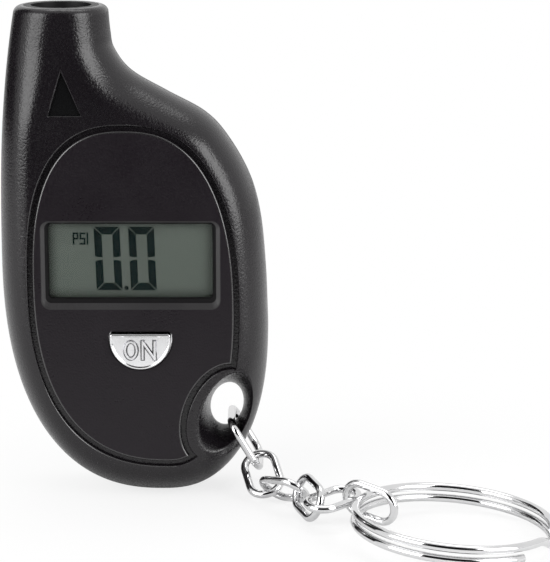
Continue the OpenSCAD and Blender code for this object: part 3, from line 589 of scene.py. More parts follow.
def panelLoop(grow):
    steps = 1440

    def inKey(angle):
        u, v = inKeyOval(eggPoint(angle, grow), grow)
        return u * u + v * v < 1

    inside = [inKey(a) for a in turns(steps)]
    leave = next(i for i in range(steps) if inside[i] and not inside[(i + 1) % steps])
    enter = next(i for i in range(steps) if not inside[i] and inside[(i + 1) % steps])

    def crossing(i):
        return lastPlace(2 * math.pi * i / steps, 2 * math.pi * (i + 1) / steps,
                         lambda a: inKey(a % (2 * math.pi)) == inside[i], 40)

    a0, a1 = crossing(leave), crossing(enter)
    if a1 < a0:
        a1 += 2 * math.pi
    egg = [eggPoint(mixed(a0, a1, i / 2000) % (2 * math.pi), grow) for i in range(2001)]
    ends = []
    for p in (egg[-1], egg[0]):
        u, v = inKeyOval(p, grow)
        ends.append(math.atan2(v, u))
    # the way round the oval that stays inside the egg is the one through its left side
    b0, b1 = ends
    while b1 < b0:
        b1 += 2 * math.pi
    halves = (panel["keyHalf"][0] - grow, panel["keyHalf"][1] - grow)
    middle = ovalPoint(*panel["keyAt"], *halves, keyHole["flareTilt"], (b0 + b1) / 2)
    if middle[0] > panel["keyAt"][0]:
        b1 -= 2 * math.pi
    oval = [ovalPoint(*panel["keyAt"], *halves, keyHole["flareTilt"], mixed(b0, b1, i / 600))
            for i in range(601)]
    return evenly(egg, panel["eggCount"]) + evenly(oval, panel["keyCount"])


# recess for the panel, its outer edge has a soft lip
def recessCutter(name, tree):
    base = panelLoop(panel["groove"])
    lip, last, steps = panel["lip"], math.radians(panel["lipTo"]), panel["lipSteps"]
    tops = [surfaceHeight(tree, p[0], p[1], -1) for p in base]
    loops = [atDepth(base, panelBack)]
    for k in range(steps + 2):
        t = last * min(k, steps) / steps
        extra = panel["spread"] if k > steps else 0.0
        ring = panelLoop(panel["groove"] + lip * (1 - math.cos(t)) + extra * math.sin(last))
        loops.append([(p[0], -(top + lip * (math.sin(t) - math.sin(last)) + extra * math.cos(last)), p[1])
                      for p, top in zip(ring, tops)])
    loops.append([(p[0], -body["beyond"], p[2]) for p in loops[-1]])
    return lofted(name, loops)


# opening round the window: rounded corners, wider towards the front
window = {"x": 10.35, "z": -37.65, "width": 24.6, "height": 11.3, "side": 1.2, "top": 0.55, "bottom": 1.75,
          "lip": ((0.06, 0.25), (0.13, 0.4), (0.2, 0.47), (0.28, 0.52), (0.45, 0.63), (0.62, 0.74),
                  (0.76, 0.84), (0.88, 0.94), (1.0, 1.0)),
          "corner": 0.5, "frontCorner": 1.4,
          "lensLip": 0.6, "lensCorner": 0.6, "lens": ((-6.30, 0.0), (-6.83, 0.0), (-6.90, -0.07)),
          "shadeLift": 0.15, "shadeSpare": 0.1, "shadeReach": 1.7, "shadeDepth": 0.42}


# shade that the walls of the window throw on the display
def shadeGroup():
    inputs = ["Middle X", "Middle Z", "Half Width", "Half Height", "Reach", "Depth"]
    group, given, out = nodeGroup("wallShade", "ShaderNodeTree", inputs, ["Shade"])
    place = addNode(group, "ShaderNodeTexCoord").outputs["Object"]
    split = addNode(group, "ShaderNodeSeparateXYZ", {0: place}).outputs
    sides = []
    for axis, middle, half in (("X", "Middle X", "Half Width"), ("Z", "Middle Z", "Half Height")):
        away = mathNode(group, "ABSOLUTE", mathNode(group, "SUBTRACT", split[axis], given[middle]))
        inner = mathNode(group, "SUBTRACT", given[half], given["Reach"])
        ramp = mapped(group, away, (inner, given[half]), (0, 1), True)
        loss = mathNode(group, "MULTIPLY", ramp, given["Depth"])
        sides.append(mathNode(group, "SUBTRACT", 1.0, loss))
    group.links.new(mathNode(group, "MULTIPLY", *sides), out["Shade"])
    return group


def shadeDisplay(mat):
    tree = mat.node_tree
    base = tree.nodes["Principled BSDF"].inputs["Base Color"]
    spare = window["shadeSpare"]
    values = {"Middle X": window["x"] * mm, "Middle Z": (window["z"] + window["shadeLift"]) * mm,
              "Half Width": (window["width"] / 2 + spare) * mm,
              "Half Height": (window["height"] / 2 + spare) * mm,
              "Reach": window["shadeReach"] * mm, "Depth": window["shadeDepth"]}
    shade = addNode(tree, "ShaderNodeGroup", values, node_tree=shadeGroup())
    both = {"Factor": 1.0, "A": base.links[0].from_socket, "B": shade.outputs["Shade"]}
    dim = addNode(tree, "ShaderNodeMix", both, data_type="RGBA", blend_type="MULTIPLY")
    tree.links.new(dim.outputs["Result"], base)


shadeDisplay(displayGreen)


def roundedRect(x0, x1, z0, z1, corner, steps=8):
    out = []
    left, right, low, high = x0 + corner, x1 - corner, z0 + corner, z1 - corner
    for cx, cz, a0 in ((right, high, 0), (left, high, 90), (left, low, 180), (right, low, 270)):
        for i in range(steps + 1):
            a = math.radians(a0 + 90 * i / steps)
            out.append((cx + corner * math.cos(a), cz + corner * math.sin(a)))
    return out


def windowLoop(share, corner, y):
    w, h = window["width"] / 2, window["height"] / 2
    ring = roundedRect(window["x"] - w - window["side"] * share, window["x"] + w + window["side"] * share,
                       window["z"] - h - window["bottom"] * share, window["z"] + h + window["top"] * share,
                       corner)
    return atDepth(ring, y)


# button with a round lower edge and a flat top edge
button = {"x": 11.7, "z": -49.6, "radius": 4.6, "flat": 0.9, "corner": 0.4, "proud": 0.7, "gap": 0.2,
          "flange": 0.8, "sunk": 0.35, "hole": ((0.2, -7.85), (0.26, -7.96), (0.36, -8.02), (0.9, -8.4)),
          "round": 0.2, "stem": 1.5, "letterHigh": 1.55, "letterWide": 1.12, "letterPen": 0.5,
          "letterLift": 0.2, "letterO": -1.42, "letterN": (0.35, 2.15)}
buttonMiddle = button["z"] - (button["radius"] - button["flat"]) / 2


def buttonLoop(grow, y):
    c = max(0.05, button["corner"] + grow)
    r, flat = button["radius"] + grow, button["flat"] + grow
    cx, cz = math.sqrt((r - c) ** 2 - (flat - c) ** 2), flat - c
    phi = math.atan2(cz, cx)
    out = []
    for i in range(65):
        a = mixed(phi, -math.pi - phi, i / 64)
        out.append((r * math.cos(a), r * math.sin(a)))
    for i in range(1, 9):
        a = mixed(math.pi - phi, math.pi / 2, i / 8)
        out.append((-cx + c * math.cos(a), cz + c * math.sin(a)))
    for i in range(8):
        a = mixed(math.pi / 2, phi, i / 8)
        out.append((cx + c * math.cos(a), cz + c * math.sin(a)))
    return [(button["x"] + p[0], y, button["z"] + p[1]) for p in out]


# arrow engraved on the neck
arrow = {"tip": (0.35, -8.9), "foot": ((-1.75, -15.85), (3.45, -15.85)), "deep": 0.4}


def arrowCutter(name):
    corners = [arrow["tip"], *arrow["foot"]]
    mx, mz = sum(p[0] for p in corners) / 3, sum(p[1] for p in corners) / 3
    loops = []
    for lift, grow in ((-arrow["deep"], 0.9), (-0.12, 0.93), (-0.03, 0.98), (0.02, 1.06), (1.0, 1.8)):
        ring = []
        for p in corners:
            x, z = mx + (p[0] - mx) * grow, mz + (p[1] - mz) * grow
            ring.append((x, -thickAt(-p[1]) - lift, z))
        loops.append(ring)
    return lofted(name, loops)


# places and sizes of the screws, their bosses and the cell
places = {"boardScrews": ((8.0, -26.9), (19.0, -26.9), (6.3, -55.0)),
          "caseScrews": ((sideRight(20.6) - 10.9, -20.6), (12.0, -67.5), (sideLeft(55.5) + 4.85, -55.5)),
          "boardBoss": 2.0, "caseBoss": 2.6, "boardFront": -2.6, "caseSeat": 5.0, "cell": (9.0, -43.5),
          "boardHole": 0.85, "boardDeep": -5.9, "caseHole": 0.95, "caseDeep": -5.3, "caseTop": 6.25,
          "screwRoom": 1.15}
# radius and place of each step of the rooms for the valve, the cell, its cover and the screw heads
rooms = {"valve": ((5.65, 1.0), (5.65, -10.0), (6.25, -10.0), (6.25, -12.0), (5.65, -12.0), (5.65, -14.0)),
         "wall": (13.4, 1.6, 6.7), "well": (12.4, 0.5, 6.2), "notch": 12.3, "notchTurn": 45, "notchWide": 36,
         "cover": ((11.15, 5.2), (11.15, 7.8), (11.5, 8.15), (11.5, 9)),
         "head": ((2.4, places["caseSeat"]), (2.4, 7.75), (2.75, 8.15), (2.75, 9))}


def valveRoom(name):
    loops = [[(r * math.cos(a), r * math.sin(a), z) for a in turns(96)] for r, z in rooms["valve"]]
    return lofted(name, loops)


def cavity(name, side):
    angles = [math.pi / 2 * k / 6 for k in range(7)]
    form = halfForm(name, rowDepths(body["roomTop"], 16, 14), body["wall"], angles, side)
    return combine(form, [post("keyBoss", *keyHole["bossAt"], keyHole["boss"], -9, 9)], "DIFFERENCE")


def frontShell():
    shell = outerHalf("frontShell", -1)
    form = bmesh.new()
    form.from_mesh(shell.data)
    tree = BVHTree.FromBMesh(form)
    keyCut, recess = keyCutter("keyCut", tree, -1), recessCutter("recess", tree)
    combine(shell, [cavity("frontRoom", -1)], "DIFFERENCE")
    bosses, holes = [], []
    front = places["boardFront"]
    for x, z in places["boardScrews"]:
        bosses.append(post("boss", x, z, places["boardBoss"], webBack - 0.5, front, 32))
        holes.append(post("hole", x, z, places["boardHole"], places["boardDeep"], front + 1, 24))
    for x, z in places["caseScrews"]:
        bosses.append(post("boss", x, z, places["caseBoss"], webBack - 0.05, 0.0, 32))
        holes.append(post("hole", x, z, places["caseHole"], places["caseDeep"], 1, 24))
    combine(shell, bosses, "UNION")
    w, h = window["width"] / 2 + window["lensLip"] + 0.05, window["height"] / 2 + window["lensLip"] + 0.05
    cuts = [keyCut, recess, arrowCutter("arrow"), valveRoom("valveRoom"),
            slab("lensRoom", window["x"] - w, window["x"] + w, window["z"] - h, window["z"] + h,
                 panelBack - 0.5, webBack + 0.6),
            lofted("buttonRoom", [buttonLoop(button["gap"], y) for y in (panelBack - 0.5, webBack + 0.6)])]
    combine(shell, cuts + holes, "DIFFERENCE")
    return crisped(shaded(shell), form)


def rearShell():
    shell = outerHalf("rearShell", 1)
    form = bmesh.new()
    form.from_mesh(shell.data)
    tree = BVHTree.FromBMesh(form)
    keyCut = keyCutter("keyCut", tree, 1)
    combine(shell, [cavity("rearRoom", 1)], "DIFFERENCE")
    r, top = places["caseBoss"], places["caseTop"]
    bosses = [post("boss", x, z, r, 0.0, top, 32) for x, z in places["caseScrews"]]
    bosses.append(post("well", *places["cell"], *rooms["wall"], 96))
    combine(shell, bosses, "UNION")
    cuts = [keyCut, valveRoom("valveRoom"), post("wellRoom", *places["cell"], *rooms["well"], 96),
            lofted("coverRoom", [circle(*places["cell"], r, y, 96) for r, y in rooms["cover"]])]
    for k in range(3):
        turn = 120 * k + rooms["notchTurn"]
        cuts.append(wedge("notch", *places["cell"], rooms["notch"], turn, rooms["notchWide"], 5.2, 9))
    for x, z in places["caseScrews"]:
        cuts.append(post("hole", x, z, places["screwRoom"], -1, 9, 24))
        cuts.append(lofted("headRoom", [circle(x, z, r, y, 48) for r, y in rooms["head"]]))
    combine(shell, cuts, "DIFFERENCE")
    return crisped(shaded(shell), form)


# faces of the arrow's floor lie under the surface and inside its outline
def inArrow(centre):
    x, y, z = centre / mm
    tip, feet = arrow["tip"], arrow["foot"]
    share = (tip[1] - z) / (tip[1] - feet[0][1])
    across = mixed(tip[0], feet[0][0], share) < x < mixed(tip[0], feet[1][0], share)
    return 0 < share < 1 and across and 0.15 < y + thickAt(-z) < 0.6


# faces of the soft lip round the panel look inwards and forwards
def onRecessLip(face):
    x, y, z = face.center / mm
    if y > -6.4 or not 0.35 < -face.normal.y < 0.93:
        return False
    toward = Vector((panel["crownX"] + 3 - x, -45 - z)).normalized()
    inward = toward.dot(Vector((face.normal.x, face.normal.z))) > 0.2
    return inward and -70.5 < z < -16.5 and x < 27.5 and (x < 17 or z > -50)


# on the front shell, the arrow's floor gets a darker black and the soft lip round the panel a lighter black,
# whose lighter colour is a painted highlight
for make, node in ((frontShell, "front_shell"), (rearShell, "rear_shell")):
    piece = make()
    dress(piece, satinBlack)
    if node == "front_shell":
        dress(piece, satinBlack, arrowBlack, edgeHighlightBlack)
        for f in piece.data.polygons:
            if inArrow(f.center):
                f.material_index = 1
            elif onRecessLip(f):
                f.material_index = 2
    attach(piece, "gauge")
    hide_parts(node)
    print(piece.name, len(piece.data.polygons), "faces")


def facePanel():
    edge = panel["edge"]
    loops = []
    for y, grow in ((panelBack, -0.1), (panelBack - 0.1, 0.0)):
        loops.append(atDepth(panelLoop(panel["fill"] + grow), y))
    for k in range(7):
        a = math.pi / 2 * k / 6
        loops.append(atDepth(panelLoop(panel["fill"] - edge * (1 - math.cos(a))),
                             -body["half"] + edge * (1 - math.sin(a))))
    obj = lofted("facePanel", loops)
    corner, front = window["corner"], window["frontCorner"]
    rings = [windowLoop(-0.02, corner, panelBack + 0.1), windowLoop(0, corner, panelBack)]
    for share, rise in window["lip"]:
        rings.append(windowLoop(share, mixed(corner, front, share), panelBack - panel["thick"] * rise))
    rings.append(windowLoop(1.3, 1.7, -8.2))
    opening = lofted("opening", rings)
    hole = lofted("hole", [buttonLoop(*step) for step in ((button["gap"], panelBack + 1), *button["hole"])])
    combine(obj, [opening, hole], "DIFFERENCE")
    return crisped(shaded(obj))


piece = facePanel()
dress(piece, panelBlack, lipHighlightBlack, wallShadeBlack, edgeHighlightBlack)
# in the window, the lip gets a lighter black as a painted highlight and the steep inner walls a darker black
# as painted shade; the panel's rounded outer edge gets a lighter, glossier black whose lighter colour is a
# painted highlight
for face in piece.data.polygons:
    x, y, z = face.center / mm
    top, bottom = window["height"] / 2 + window["top"], -window["height"] / 2 - window["bottom"]
    inside = abs(x - window["x"]) < window["width"] / 2 + window["side"] and bottom < z - window["z"] < top
    behind = -body["half"] + 0.004 < y
    offButton = math.hypot(x - button["x"], z - button["z"]) > button["radius"] + 1.5
    if inside and behind and y < panelBack - 0.005:
        face.material_index = 2 if y > panelBack - panel["thick"] * 0.6 else 1
    elif not inside and behind and y < -body["half"] + panel["edge"] and offButton:
        face.material_index = 3
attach(piece, "gauge")
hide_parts("face_panel")
print(piece.name, len(piece.data.polygons), "faces")


# display: clear lens, dark segments under it
def lensPlate():
    w, h = window["width"] / 2 + window["lensLip"], window["height"] / 2 + window["lensLip"]
    loops = []
    for y, grow in window["lens"]:
        ring = roundedRect(window["x"] - w - grow, window["x"] + w + grow, window["z"] - h - grow,
                           window["z"] + h + grow, window["lensCorner"])
        loops.append(atDepth(ring, y))
    return lofted("lensPlate", loops)


digits = {"left": (5.13, 10.3), "bottom": -42.4, "width": 3.9, "height": 9.75, "stroke": 1.15, "gap": 0.06,
          "middle": 0.22, "lean": -0.036, "point": (9.62, -42.05, 0.34), "front": -6.27, "back": -6.21}
unit = {"x": 1.75, "z": -35.25, "high": 1.6, "wide": 0.62, "step": 1.05, "pen": 0.26}


def segmentBars():
    w, h, s, g = digits["width"], digits["height"], digits["stroke"], digits["gap"]
    m, e = h / 2, digits["middle"]
    return [
        [(g * 2, h), (w - g * 2, h), (w - s - g, h - s), (s + g, h - s)],
        [(g * 2, 0), (w - g * 2, 0), (w - s - g, s), (s + g, s)],
        [(0, h - g * 2), (s, h - s - g), (s, m + e), (s / 2, m + e), (0, m + e + 0.2)],
        [(0, g * 2), (s, s + g), (s, m - e), (s / 2, m - e), (0, m - e - 0.2)],
        [(w, h - g * 2), (w - s, h - s - g), (w - s, m + e), (w - s / 2, m + e), (w, m + e + 0.2)],
        [(w, g * 2), (w - s, s + g), (w - s, m - e), (w - s / 2, m - e), (w, m - e - 0.2)],
    ]


# plain strokes for letters: each is a bar between two points
def strokeBar(x0, z0, x1, z1, wide):
    d = Vector((x1 - x0, z1 - z0)).normalized() * wide / 2
    n = Vector((-d[1], d[0]))
    a, b = Vector((x0, z0)) - d, Vector((x1, z1)) + d
    return [tuple(a + n), tuple(b + n), tuple(b - n), tuple(a - n)]


def displayMarks():
    shapes = []
    for left in digits["left"]:
        for bar in segmentBars():
            shapes.append([(left + x + digits["lean"] * z, digits["bottom"] + z) for x, z in bar])
    x, z, r = digits["point"]
    corners = [math.pi * k / 4 + math.pi / 8 for k in range(8)]
    shapes.append([(x + r * math.cos(a), z + r * math.sin(a)) for a in corners])
    # P, S and I in an upright stroke hand
    x, z, h, w, pen = unit["x"], unit["z"], unit["high"], unit["wide"], unit["pen"]
    letters = (((0, 0, 0, h), (0, h, w, h), (w, h, w, h / 2), (0, h / 2, w, h / 2)),
               ((0, 0, w, 0), (w, 0, w, h / 2), (0, h / 2, w, h / 2), (0, h / 2, 0, h), (0, h, w, h)),
               ((0, 0, 0, h),))
    for letter in letters:
        shapes += [strokeBar(x + a, z + b, x + c, z + d, pen) for a, b, c, d in letter]
        x += unit["step"]
    # small pieces that cross are lifted a little, so that none shares a plane
    points, faces = [], []
    for k, shape in enumerate(shapes):
        front = digits["front"] - 0.001 * (k % 5)
        start, n = len(points), len(shape)
        points += [(px, front, pz) for px, pz in shape] + [(px, digits["back"], pz) for px, pz in shape]
        faces.append(tuple(range(start, start + n)))
        faces.append(tuple(range(start + n, start + 2 * n)))
        faces += [(start + i, start + (i + 1) % n, start + n + (i + 1) % n, start + n + i) for i in range(n)]
    return newObject("displayMarks", meshFrom("displayMarks", points, faces, False))


piece = lensPlate()
dress(piece, lensClear)
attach(piece, "gauge")
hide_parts("lcd_lens")
piece = displayMarks()
dress(piece, segmentDark)
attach(piece, "gauge")
print("display made")


# chromed button with a thin raised rim and raised letters
def onButton():
    front = -body["half"] - button["proud"]
    sunk, flange, edge = button["sunk"], button["flange"], button["round"]
    back = ((0.7, 0.58), (flange, 0.5), (flange, 0.08), (0.72, 0.02), (0.0, 0.02))
    rim = ((-0.27, 0.0), (-0.33, 0.04), (-0.4, 0.3), (-0.46, sunk), (-0.6, sunk))
    loops = [buttonLoop(grow, webBack + y) for grow, y in back] + [buttonLoop(0.0, front + 0.22)]
    for k in range(1, 6):
        a = math.pi / 2 * k / 5
        loops.append(buttonLoop(-edge * (1 - math.cos(a)), front + edge * (1 - math.sin(a))))
    loops += [buttonLoop(grow, front + y) for grow, y in rim]
    obj = lofted("onButton", loops)
    stem = post("stem", button["x"], buttonMiddle, button["stem"], webBack + 0.3, webBack + 1.1, 48)
    h, wide, pen = button["letterHigh"], button["letterWide"], button["letterPen"]
    face, middle = front + sunk, buttonMiddle + button["letterLift"]
    slope = ((0.12, 0.15), (0.09, 0.0), (-0.09, -0.22), (-0.13, -0.25))

    def ring(grow, y):
        x = button["x"] + button["letterO"]
        return [(x + (wide + grow) * math.cos(a), y, middle + (h + grow) * math.sin(a)) for a in turns(48)]

    letters = [lofted("letterO", [ring(g, face + y) for g, y in slope])]
    inner = lofted("inner", [ring(-pen - g, face + y) for g, y in ((0.12, 0.3), *slope[1:], (-0.2, -0.4))])
    combine(letters[0], [inner], "DIFFERENCE")
    x0, x1 = (button["x"] + x for x in button["letterN"])
    e = h - pen / 2
    for k, (xa, za, xb, zb) in enumerate(((x0, -e, x0, e), (x1, -e, x1, e), (x0, e, x1, -e))):
        loops = []
        for g, y in slope:
            bar = strokeBar(xa, za, xb, zb, pen + 2 * g)
            loops.append([(p[0], face + y - 0.004 * k, middle + p[1]) for p in bar])
        letters.append(lofted("stroke", loops))
    combine(obj, [stem, *letters], "UNION")
    return crisped(shaded(obj, 24))


piece = onButton()
dress(piece, chromePlate, chromeShade)
# the side walls of the raised letters get a darker chrome: painted shade and painted dark reflection round
# the letters
for face in piece.data.polygons:
    x, y, z = face.center / mm
    low = -body["half"] - button["proud"] + button["sunk"]
    within = math.hypot(x - button["x"], z - button["z"]) < button["radius"] - 0.55
    if y < low - 0.02 and abs(face.normal.y) < 0.9 and within and z < button["z"] + button["flat"] - 0.55:
        face.material_index = 1
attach(piece, "button")
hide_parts("on_button")
print(piece.name, len(piece.data.polygons), "faces")


# geometry node helpers
def newTree(name, *inputs):
    return nodeGroup(name, "GeometryNodeTree", inputs, ["Geometry"], "NodeSocketGeometry")


def finishTree(tree, geometry, out, mat):
    realize = addNode(tree, "GeometryNodeRealizeInstances", {"Geometry": geometry})
    soft = addNode(tree, "GeometryNodeSetShadeSmooth", {"Geometry": realize.outputs["Geometry"]})
    dressing = addNode(tree, "GeometryNodeSetMaterial",
                       {"Geometry": soft.outputs["Geometry"], "Material": mat})
    tree.links.new(dressing.outputs["Geometry"], out["Geometry"])
    return tree


# round wire along a curve
def swept(tree, curve, radius, sides, caps=False):
    section = addNode(tree, "GeometryNodeCurvePrimitiveCircle", {"Radius": radius, "Resolution": sides})
    skin = addNode(tree, "GeometryNodeCurveToMesh",
                   {"Curve": curve, "Profile Curve": section.outputs["Curve"], "Fill Caps": caps})
    return skin.outputs["Mesh"]


def grown(name, tree, values):
    obj = newObject(name, bpy.data.meshes.new(name))
    mod = obj.modifiers.new("grow", "NODES")
    mod.node_group = tree
    for item in tree.interface.items_tree:
        if item.item_type == "SOCKET" and item.in_out == "INPUT" and item.name in values:
            mod[item.identifier] = values[item.name]
    return settled(obj)


# chain of bent wire links, each pose gives an oval link's turn, rise and roll in degrees
chain = {"wire": 1.3, "skin": 1.2, "gap": 0.25, "length": 8.5, "width": 4.8, "firstAt": (25.3, 0.0, -63.7),
         "firstDown": 59.0, "firstSpan": 8.4, "firstDepth": 10.7, "firstCorner": 2.2, "slide": -2.4,
         "pose": ((-75, -28, 20), (-50, 10, 135), (-70, -5, 250), (40, 5, 5), (-35, -8, 95)),
         "points": 180, "sides": 36}


def wireTree():
    tree, given, out = newTree("bentWire", "Length", "Width", "Corner", "Wire")
    path = addNode(tree, "GeometryNodeCurvePrimitiveQuadrilateral",
                   {"Width": given["Length"], "Height": given["Width"]})
    corners = {"Curve": path.outputs["Curve"], "Radius": given["Corner"], "Count": 14, "Limit Radius": True}
    bend = addNode(tree, "GeometryNodeFilletCurve", corners, mode="POLY")
    even = addNode(tree, "GeometryNodeResampleCurve",
                   {"Curve": bend.outputs["Curve"], "Count": chain["points"]})
    skin = swept(tree, even.outputs["Curve"], given["Wire"], chain["sides"])
    return finishTree(tree, skin, out, chromeSteel)


def linkFrame(turn, rise, roll):
    level = Matrix.Rotation(math.radians(turn), 3, "Z") @ Matrix.Rotation(math.radians(-rise), 3, "Y")
    return level @ Matrix.Rotation(math.radians(roll), 3, "X")


def placeWire(name, tree, matrix, middle, size, link):
    sizes = zip(("Length", "Width", "Corner", "Wire"), (*size, chain["skin"] / 2))
    piece = grown(name, tree, {label: value * mm for label, value in sizes})
    piece.data.transform(Matrix.Translation(Vector(middle) * mm) @ matrix.to_4x4())
    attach(piece, link)
    return piece


wire = wireTree()
down = math.radians(chain["firstDown"])
direction = Vector((math.cos(down), 0, -math.sin(down)))
across = Vector((0, 1, 0))
firstAt = Vector(chain["firstAt"])
firstSize = (chain["firstSpan"], chain["firstDepth"], chain["firstCorner"])
piece = placeWire("longLink", wire, Matrix.Rotation(down, 3, "Y"),
                  firstAt + direction * chain["firstSpan"] / 2, firstSize, "link_1")
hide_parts("chain_link_1")
tail = firstAt + direction * chain["firstSpan"] + Vector((0, chain["slide"], 0))
for k, pose in enumerate(chain["pose"]):
    m = linkFrame(*pose)
    along, side = m.col[0].copy(), m.col[1].copy()
    normal = across.cross(side).normalized()
    if normal.dot(direction + along) < 0:
        normal.negate()
    head = tail - normal * (chain["wire"] + chain["gap"])
    size = (chain["length"], chain["width"], chain["width"] / 2)
    piece = placeWire("ovalLink" + str(k + 2), wire, m, head + along * chain["length"] / 2, size,
                      "link_" + str(k + 2))
    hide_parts("chain_link_" + str(k + 2))
    tail, direction, across = head + along * chain["length"], along, side
print("chain made")


# split ring: one wire of two flat turns with a step between them
ring = {"wire": 1.25, "gap": 0.45, "diameter": 30.0, "at": (58.0, -27.0), "tilt": 4.5, "turn": -51.0,
        "sweep": 679.0, "stepStart": 322.0, "stepEnd": 347.0, "points": 840, "sides": 40}


def ringTree():
    tree, given, out = newTree("splitRingWire", "Radius", "Wire", "Pitch", "Turn", "Sweep",
                               "Step Start", "Step End")
    line = addNode(tree, "GeometryNodeMeshLine", {"Count": ring["points"]})
    share = mathNode(tree, "DIVIDE", addNode(tree, "GeometryNodeInputIndex").outputs[0], ring["points"] - 1)
    t = mathNode(tree, "MULTIPLY", share, given["Sweep"])
    a = mathNode(tree, "SUBTRACT", given["Turn"], t)
    ease = mapped(tree, t, (given["Step Start"], given["Step End"]), (-0.5, 0.5), True)
    x = mathNode(tree, "MULTIPLY", mathNode(tree, "COSINE", a), given["Radius"])
    y = mathNode(tree, "MULTIPLY", mathNode(tree, "SINE", a), given["Radius"])
    z = mathNode(tree, "MULTIPLY", ease, given["Pitch"])
    place = addNode(tree, "ShaderNodeCombineXYZ", {"X": x, "Y": y, "Z": z})
    move = addNode(tree, "GeometryNodeSetPosition",
                   {"Geometry": line.outputs["Mesh"], "Position": place.outputs[0]})
    path = addNode(tree, "GeometryNodeMeshToCurve", {"Mesh": move.outputs["Geometry"]})
    skin = swept(tree, path.outputs["Curve"], given["Wire"], ring["sides"], True)
    return finishTree(tree, skin, out, chromeSteel)


pitch = ring["wire"] + ring["gap"]
ringRadius = (ring["diameter"] - ring["wire"]) / 2
piece = grown("splitRing", ringTree(), {
    "Radius": ringRadius * mm, "Wire": ring["wire"] / 2 * mm, "Pitch": pitch * mm,
    "Turn": math.radians(ring["turn"]), "Sweep": math.radians(ring["sweep"]),
    "Step Start": math.radians(ring["stepStart"]), "Step End": math.radians(ring["stepEnd"])})
ringTilt = math.radians(ring["tilt"])
ringRise = (pitch + ring["wire"]) / 2 + ringRadius * math.sin(ringTilt) + 0.05
ringMiddle = Vector((*ring["at"], -body["length"] + ringRise))
piece.data.transform(Matrix.Translation(ringMiddle * mm) @ Matrix.Rotation(ringTilt, 4, "Y"))
piece.data.set_sharp_from_angle(angle=math.radians(50))
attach(piece, "ring")
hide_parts("split_ring")
print("ring made")


# case screws with a crossed recess, one tree set on three points
caseScrew = {"Head": 2.1, "Head Height": 1.4, "Shank": 0.9, "Shank Length": 10.0,
             "Slot": 0.45, "Slot Depth": 0.6}


def screwTree():
    tree, given, out = newTree("crossScrews", *caseScrew)

    def moved(geometry, z):
        place = addNode(tree, "ShaderNodeCombineXYZ", {"Z": z})
        shift = addNode(tree, "GeometryNodeTransform",
                        {"Translation": place.outputs[0], "Geometry": geometry})
        return shift.outputs["Geometry"]

    def cylinder(radius, depth, sides):
        sizes = {"Radius": given[radius], "Depth": given[depth], "Vertices": sides}
        return addNode(tree, "GeometryNodeMeshCylinder", sizes).outputs["Mesh"]

    def joined(parts):
        both = addNode(tree, "GeometryNodeJoinGeometry")
        for part in parts:
            tree.links.new(part, both.inputs["Geometry"])
        return both.outputs["Geometry"]

    long = mathNode(tree, "MULTIPLY", given["Head"], 1.3)
    deep = mathNode(tree, "MULTIPLY", given["Slot Depth"], 2.0)
    top = moved(cylinder("Head", "Head Height", 40), mathNode(tree, "MULTIPLY", given["Head Height"], 0.5))
    for x, y in ((long, given["Slot"]), (given["Slot"], long)):
        size = addNode(tree, "ShaderNodeCombineXYZ", {"X": x, "Y": y, "Z": deep})
        bar = addNode(tree, "GeometryNodeMeshCube", {"Size": size.outputs[0]})
        pair = {"Mesh 1": top, "Mesh 2": moved(bar.outputs["Mesh"], given["Head Height"])}
        top = addNode(tree, "GeometryNodeMeshBoolean", pair, operation="DIFFERENCE").outputs["Mesh"]
    shank = moved(cylinder("Shank", "Shank Length", 24),
                  mathNode(tree, "MULTIPLY", given["Shank Length"], -0.499))
    spots = []
    for x, z in places["caseScrews"]:
        at = Vector((x, places["caseSeat"], z)) * mm
        spots.append(addNode(tree, "GeometryNodePoints", {"Count": 1, "Position": at}).outputs[0])
    spread = addNode(tree, "GeometryNodeInstanceOnPoints",
                     {"Points": joined(spots), "Instance": joined((top, shank)),
                      "Rotation": (math.radians(-90), 0, 0)})
    return finishTree(tree, spread.outputs["Instances"], out, screwSteel)


piece = grown("caseScrews", screwTree(), {label: value * mm for label, value in caseScrew.items()})
piece.data.set_sharp_from_angle(angle=math.radians(35))
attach(piece, "gauge")
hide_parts("case_screws")
print("screws made")


# light and ground
def lamp(name, at, target, wide, high, power):
    data = bpy.data.lights.new(name, "AREA")
    data.shape = "RECTANGLE"
    data.size = wide * mm
    data.size_y = high * mm
    data.energy = power
    obj = bpy.data.objects.new(name, data)
    obj.location = Vector(at) * mm
    obj.rotation_euler = (Vector(target) - Vector(at)).to_track_quat("-Z", "Y").to_euler()
    bpy.context.scene.collection.objects.link(obj)


lamp("softLeft", (-325, -270, 70), (5, 0, -30), 330, 400, 1.75)
lamp("softRight", (360, -270, 70), (5, 0, -30), 270, 400, 1.7)
lamp("softTop", (60, 120, 460), (20, 0, -40), 380, 220, 0.7)


def sheet(name, corners):
    mesh = bpy.data.meshes.new(name)
    mesh.from_pydata([Vector(c) * mm for c in corners], [], [(0, 1, 2, 3)])
    return newObject(name, mesh)


# dark cards give chrome and black plastic something dark to mirror
cardBlack = bpy.data.materials.new("cardBlack")
cardBlack.use_nodes = True
shader = cardBlack.node_tree.nodes["Principled BSDF"]
shader.inputs["Base Color"].default_value = (0.012, 0.012, 0.012, 1)
shader.inputs["Specular IOR Level"].default_value = 0.0


def darkCard(name, corners):
    obj = sheet(name, corners)
    dress(obj, cardBlack)
    obj.visible_camera = False
    obj.visible_diffuse = False
    obj.visible_shadow = False
    obj.visible_transmission = False


darkCard("cardFront", [(-300, -520, -72), (350, -520, -72), (350, -520, 720), (-300, -520, 720)])
darkCard("cardLeft", [(-430, 30, -74), (-300, 420, -74), (-300, 420, 500), (-430, 30, 500)])
darkCard("cardGround", [(-700, -900, -74.5), (700, -900, -74.5), (700, -122, -74.5), (-700, -122, -74.5)])

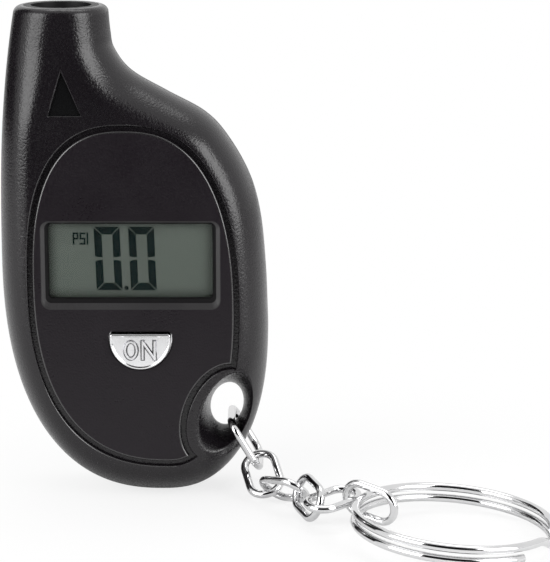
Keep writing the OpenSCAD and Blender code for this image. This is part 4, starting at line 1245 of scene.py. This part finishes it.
ground = {"half": 3000, "level": -body["length"] - 0.1}
floorCorners = ((-1, -1), (1, -1), (1, 1), (-1, 1))
floor = sheet("floor", [(x * ground["half"], y * ground["half"], ground["level"]) for x, y in floorCorners])
floorMat = bpy.data.materials.new("floorWhite")
floorMat.use_nodes = True
tree = floorMat.node_tree
shader = tree.nodes["Principled BSDF"]
shader.inputs["Base Color"].default_value = (0.93, 0.93, 0.93, 1)
shader.inputs["Roughness"].default_value = 0.9
shader.inputs["Specular IOR Level"].default_value = 0.1
place = addNode(tree, "ShaderNodeTexCoord").outputs["Object"]
shift = addNode(tree, "ShaderNodeMapping", {"Vector": place, "Location": (-0.035, 0.01, 0)})
far = addNode(tree, "ShaderNodeVectorMath", {0: shift.outputs["Vector"]}, operation="LENGTH")
fade = mapped(tree, far.outputs["Value"], (0.025, 0.11), (0.3, 1), True)
glow = addNode(tree, "ShaderNodeEmission", {"Color": (1, 1, 1, 1)})
rays = addNode(tree, "ShaderNodeLightPath").outputs
direct = mathNode(tree, "MAXIMUM", rays["Is Camera Ray"], rays["Is Transmission Ray"])
seen = mathNode(tree, "MULTIPLY", fade, direct)
blend = addNode(tree, "ShaderNodeMixShader", {"Fac": seen, 1: shader.outputs[0], 2: glow.outputs[0]})
tree.links.new(blend.outputs[0], tree.nodes["Material Output"].inputs["Surface"])
dress(floor, floorMat)

world = bpy.data.worlds.new("studio")
bpy.context.scene.world = world
world.use_nodes = True
tree = world.node_tree
tree.nodes.clear()
backdrop = addNode(tree, "ShaderNodeBackground", {"Color": (1, 1, 1, 1), "Strength": 1.0})
fill = addNode(tree, "ShaderNodeBackground", {"Color": (1, 1, 1, 1), "Strength": 0.5})
rays = addNode(tree, "ShaderNodeLightPath").outputs
seen = mathNode(tree, "MAXIMUM", rays["Is Camera Ray"], rays["Is Glossy Ray"])
seen = mathNode(tree, "MAXIMUM", seen, rays["Is Transmission Ray"])
blend = addNode(tree, "ShaderNodeMixShader", {"Fac": seen, 1: fill.outputs[0], 2: backdrop.outputs[0]})
addNode(tree, "ShaderNodeOutputWorld", {"Surface": blend.outputs[0]})
bpy.context.scene.view_settings.view_transform = "Standard"
print("light set")

print("scene done")
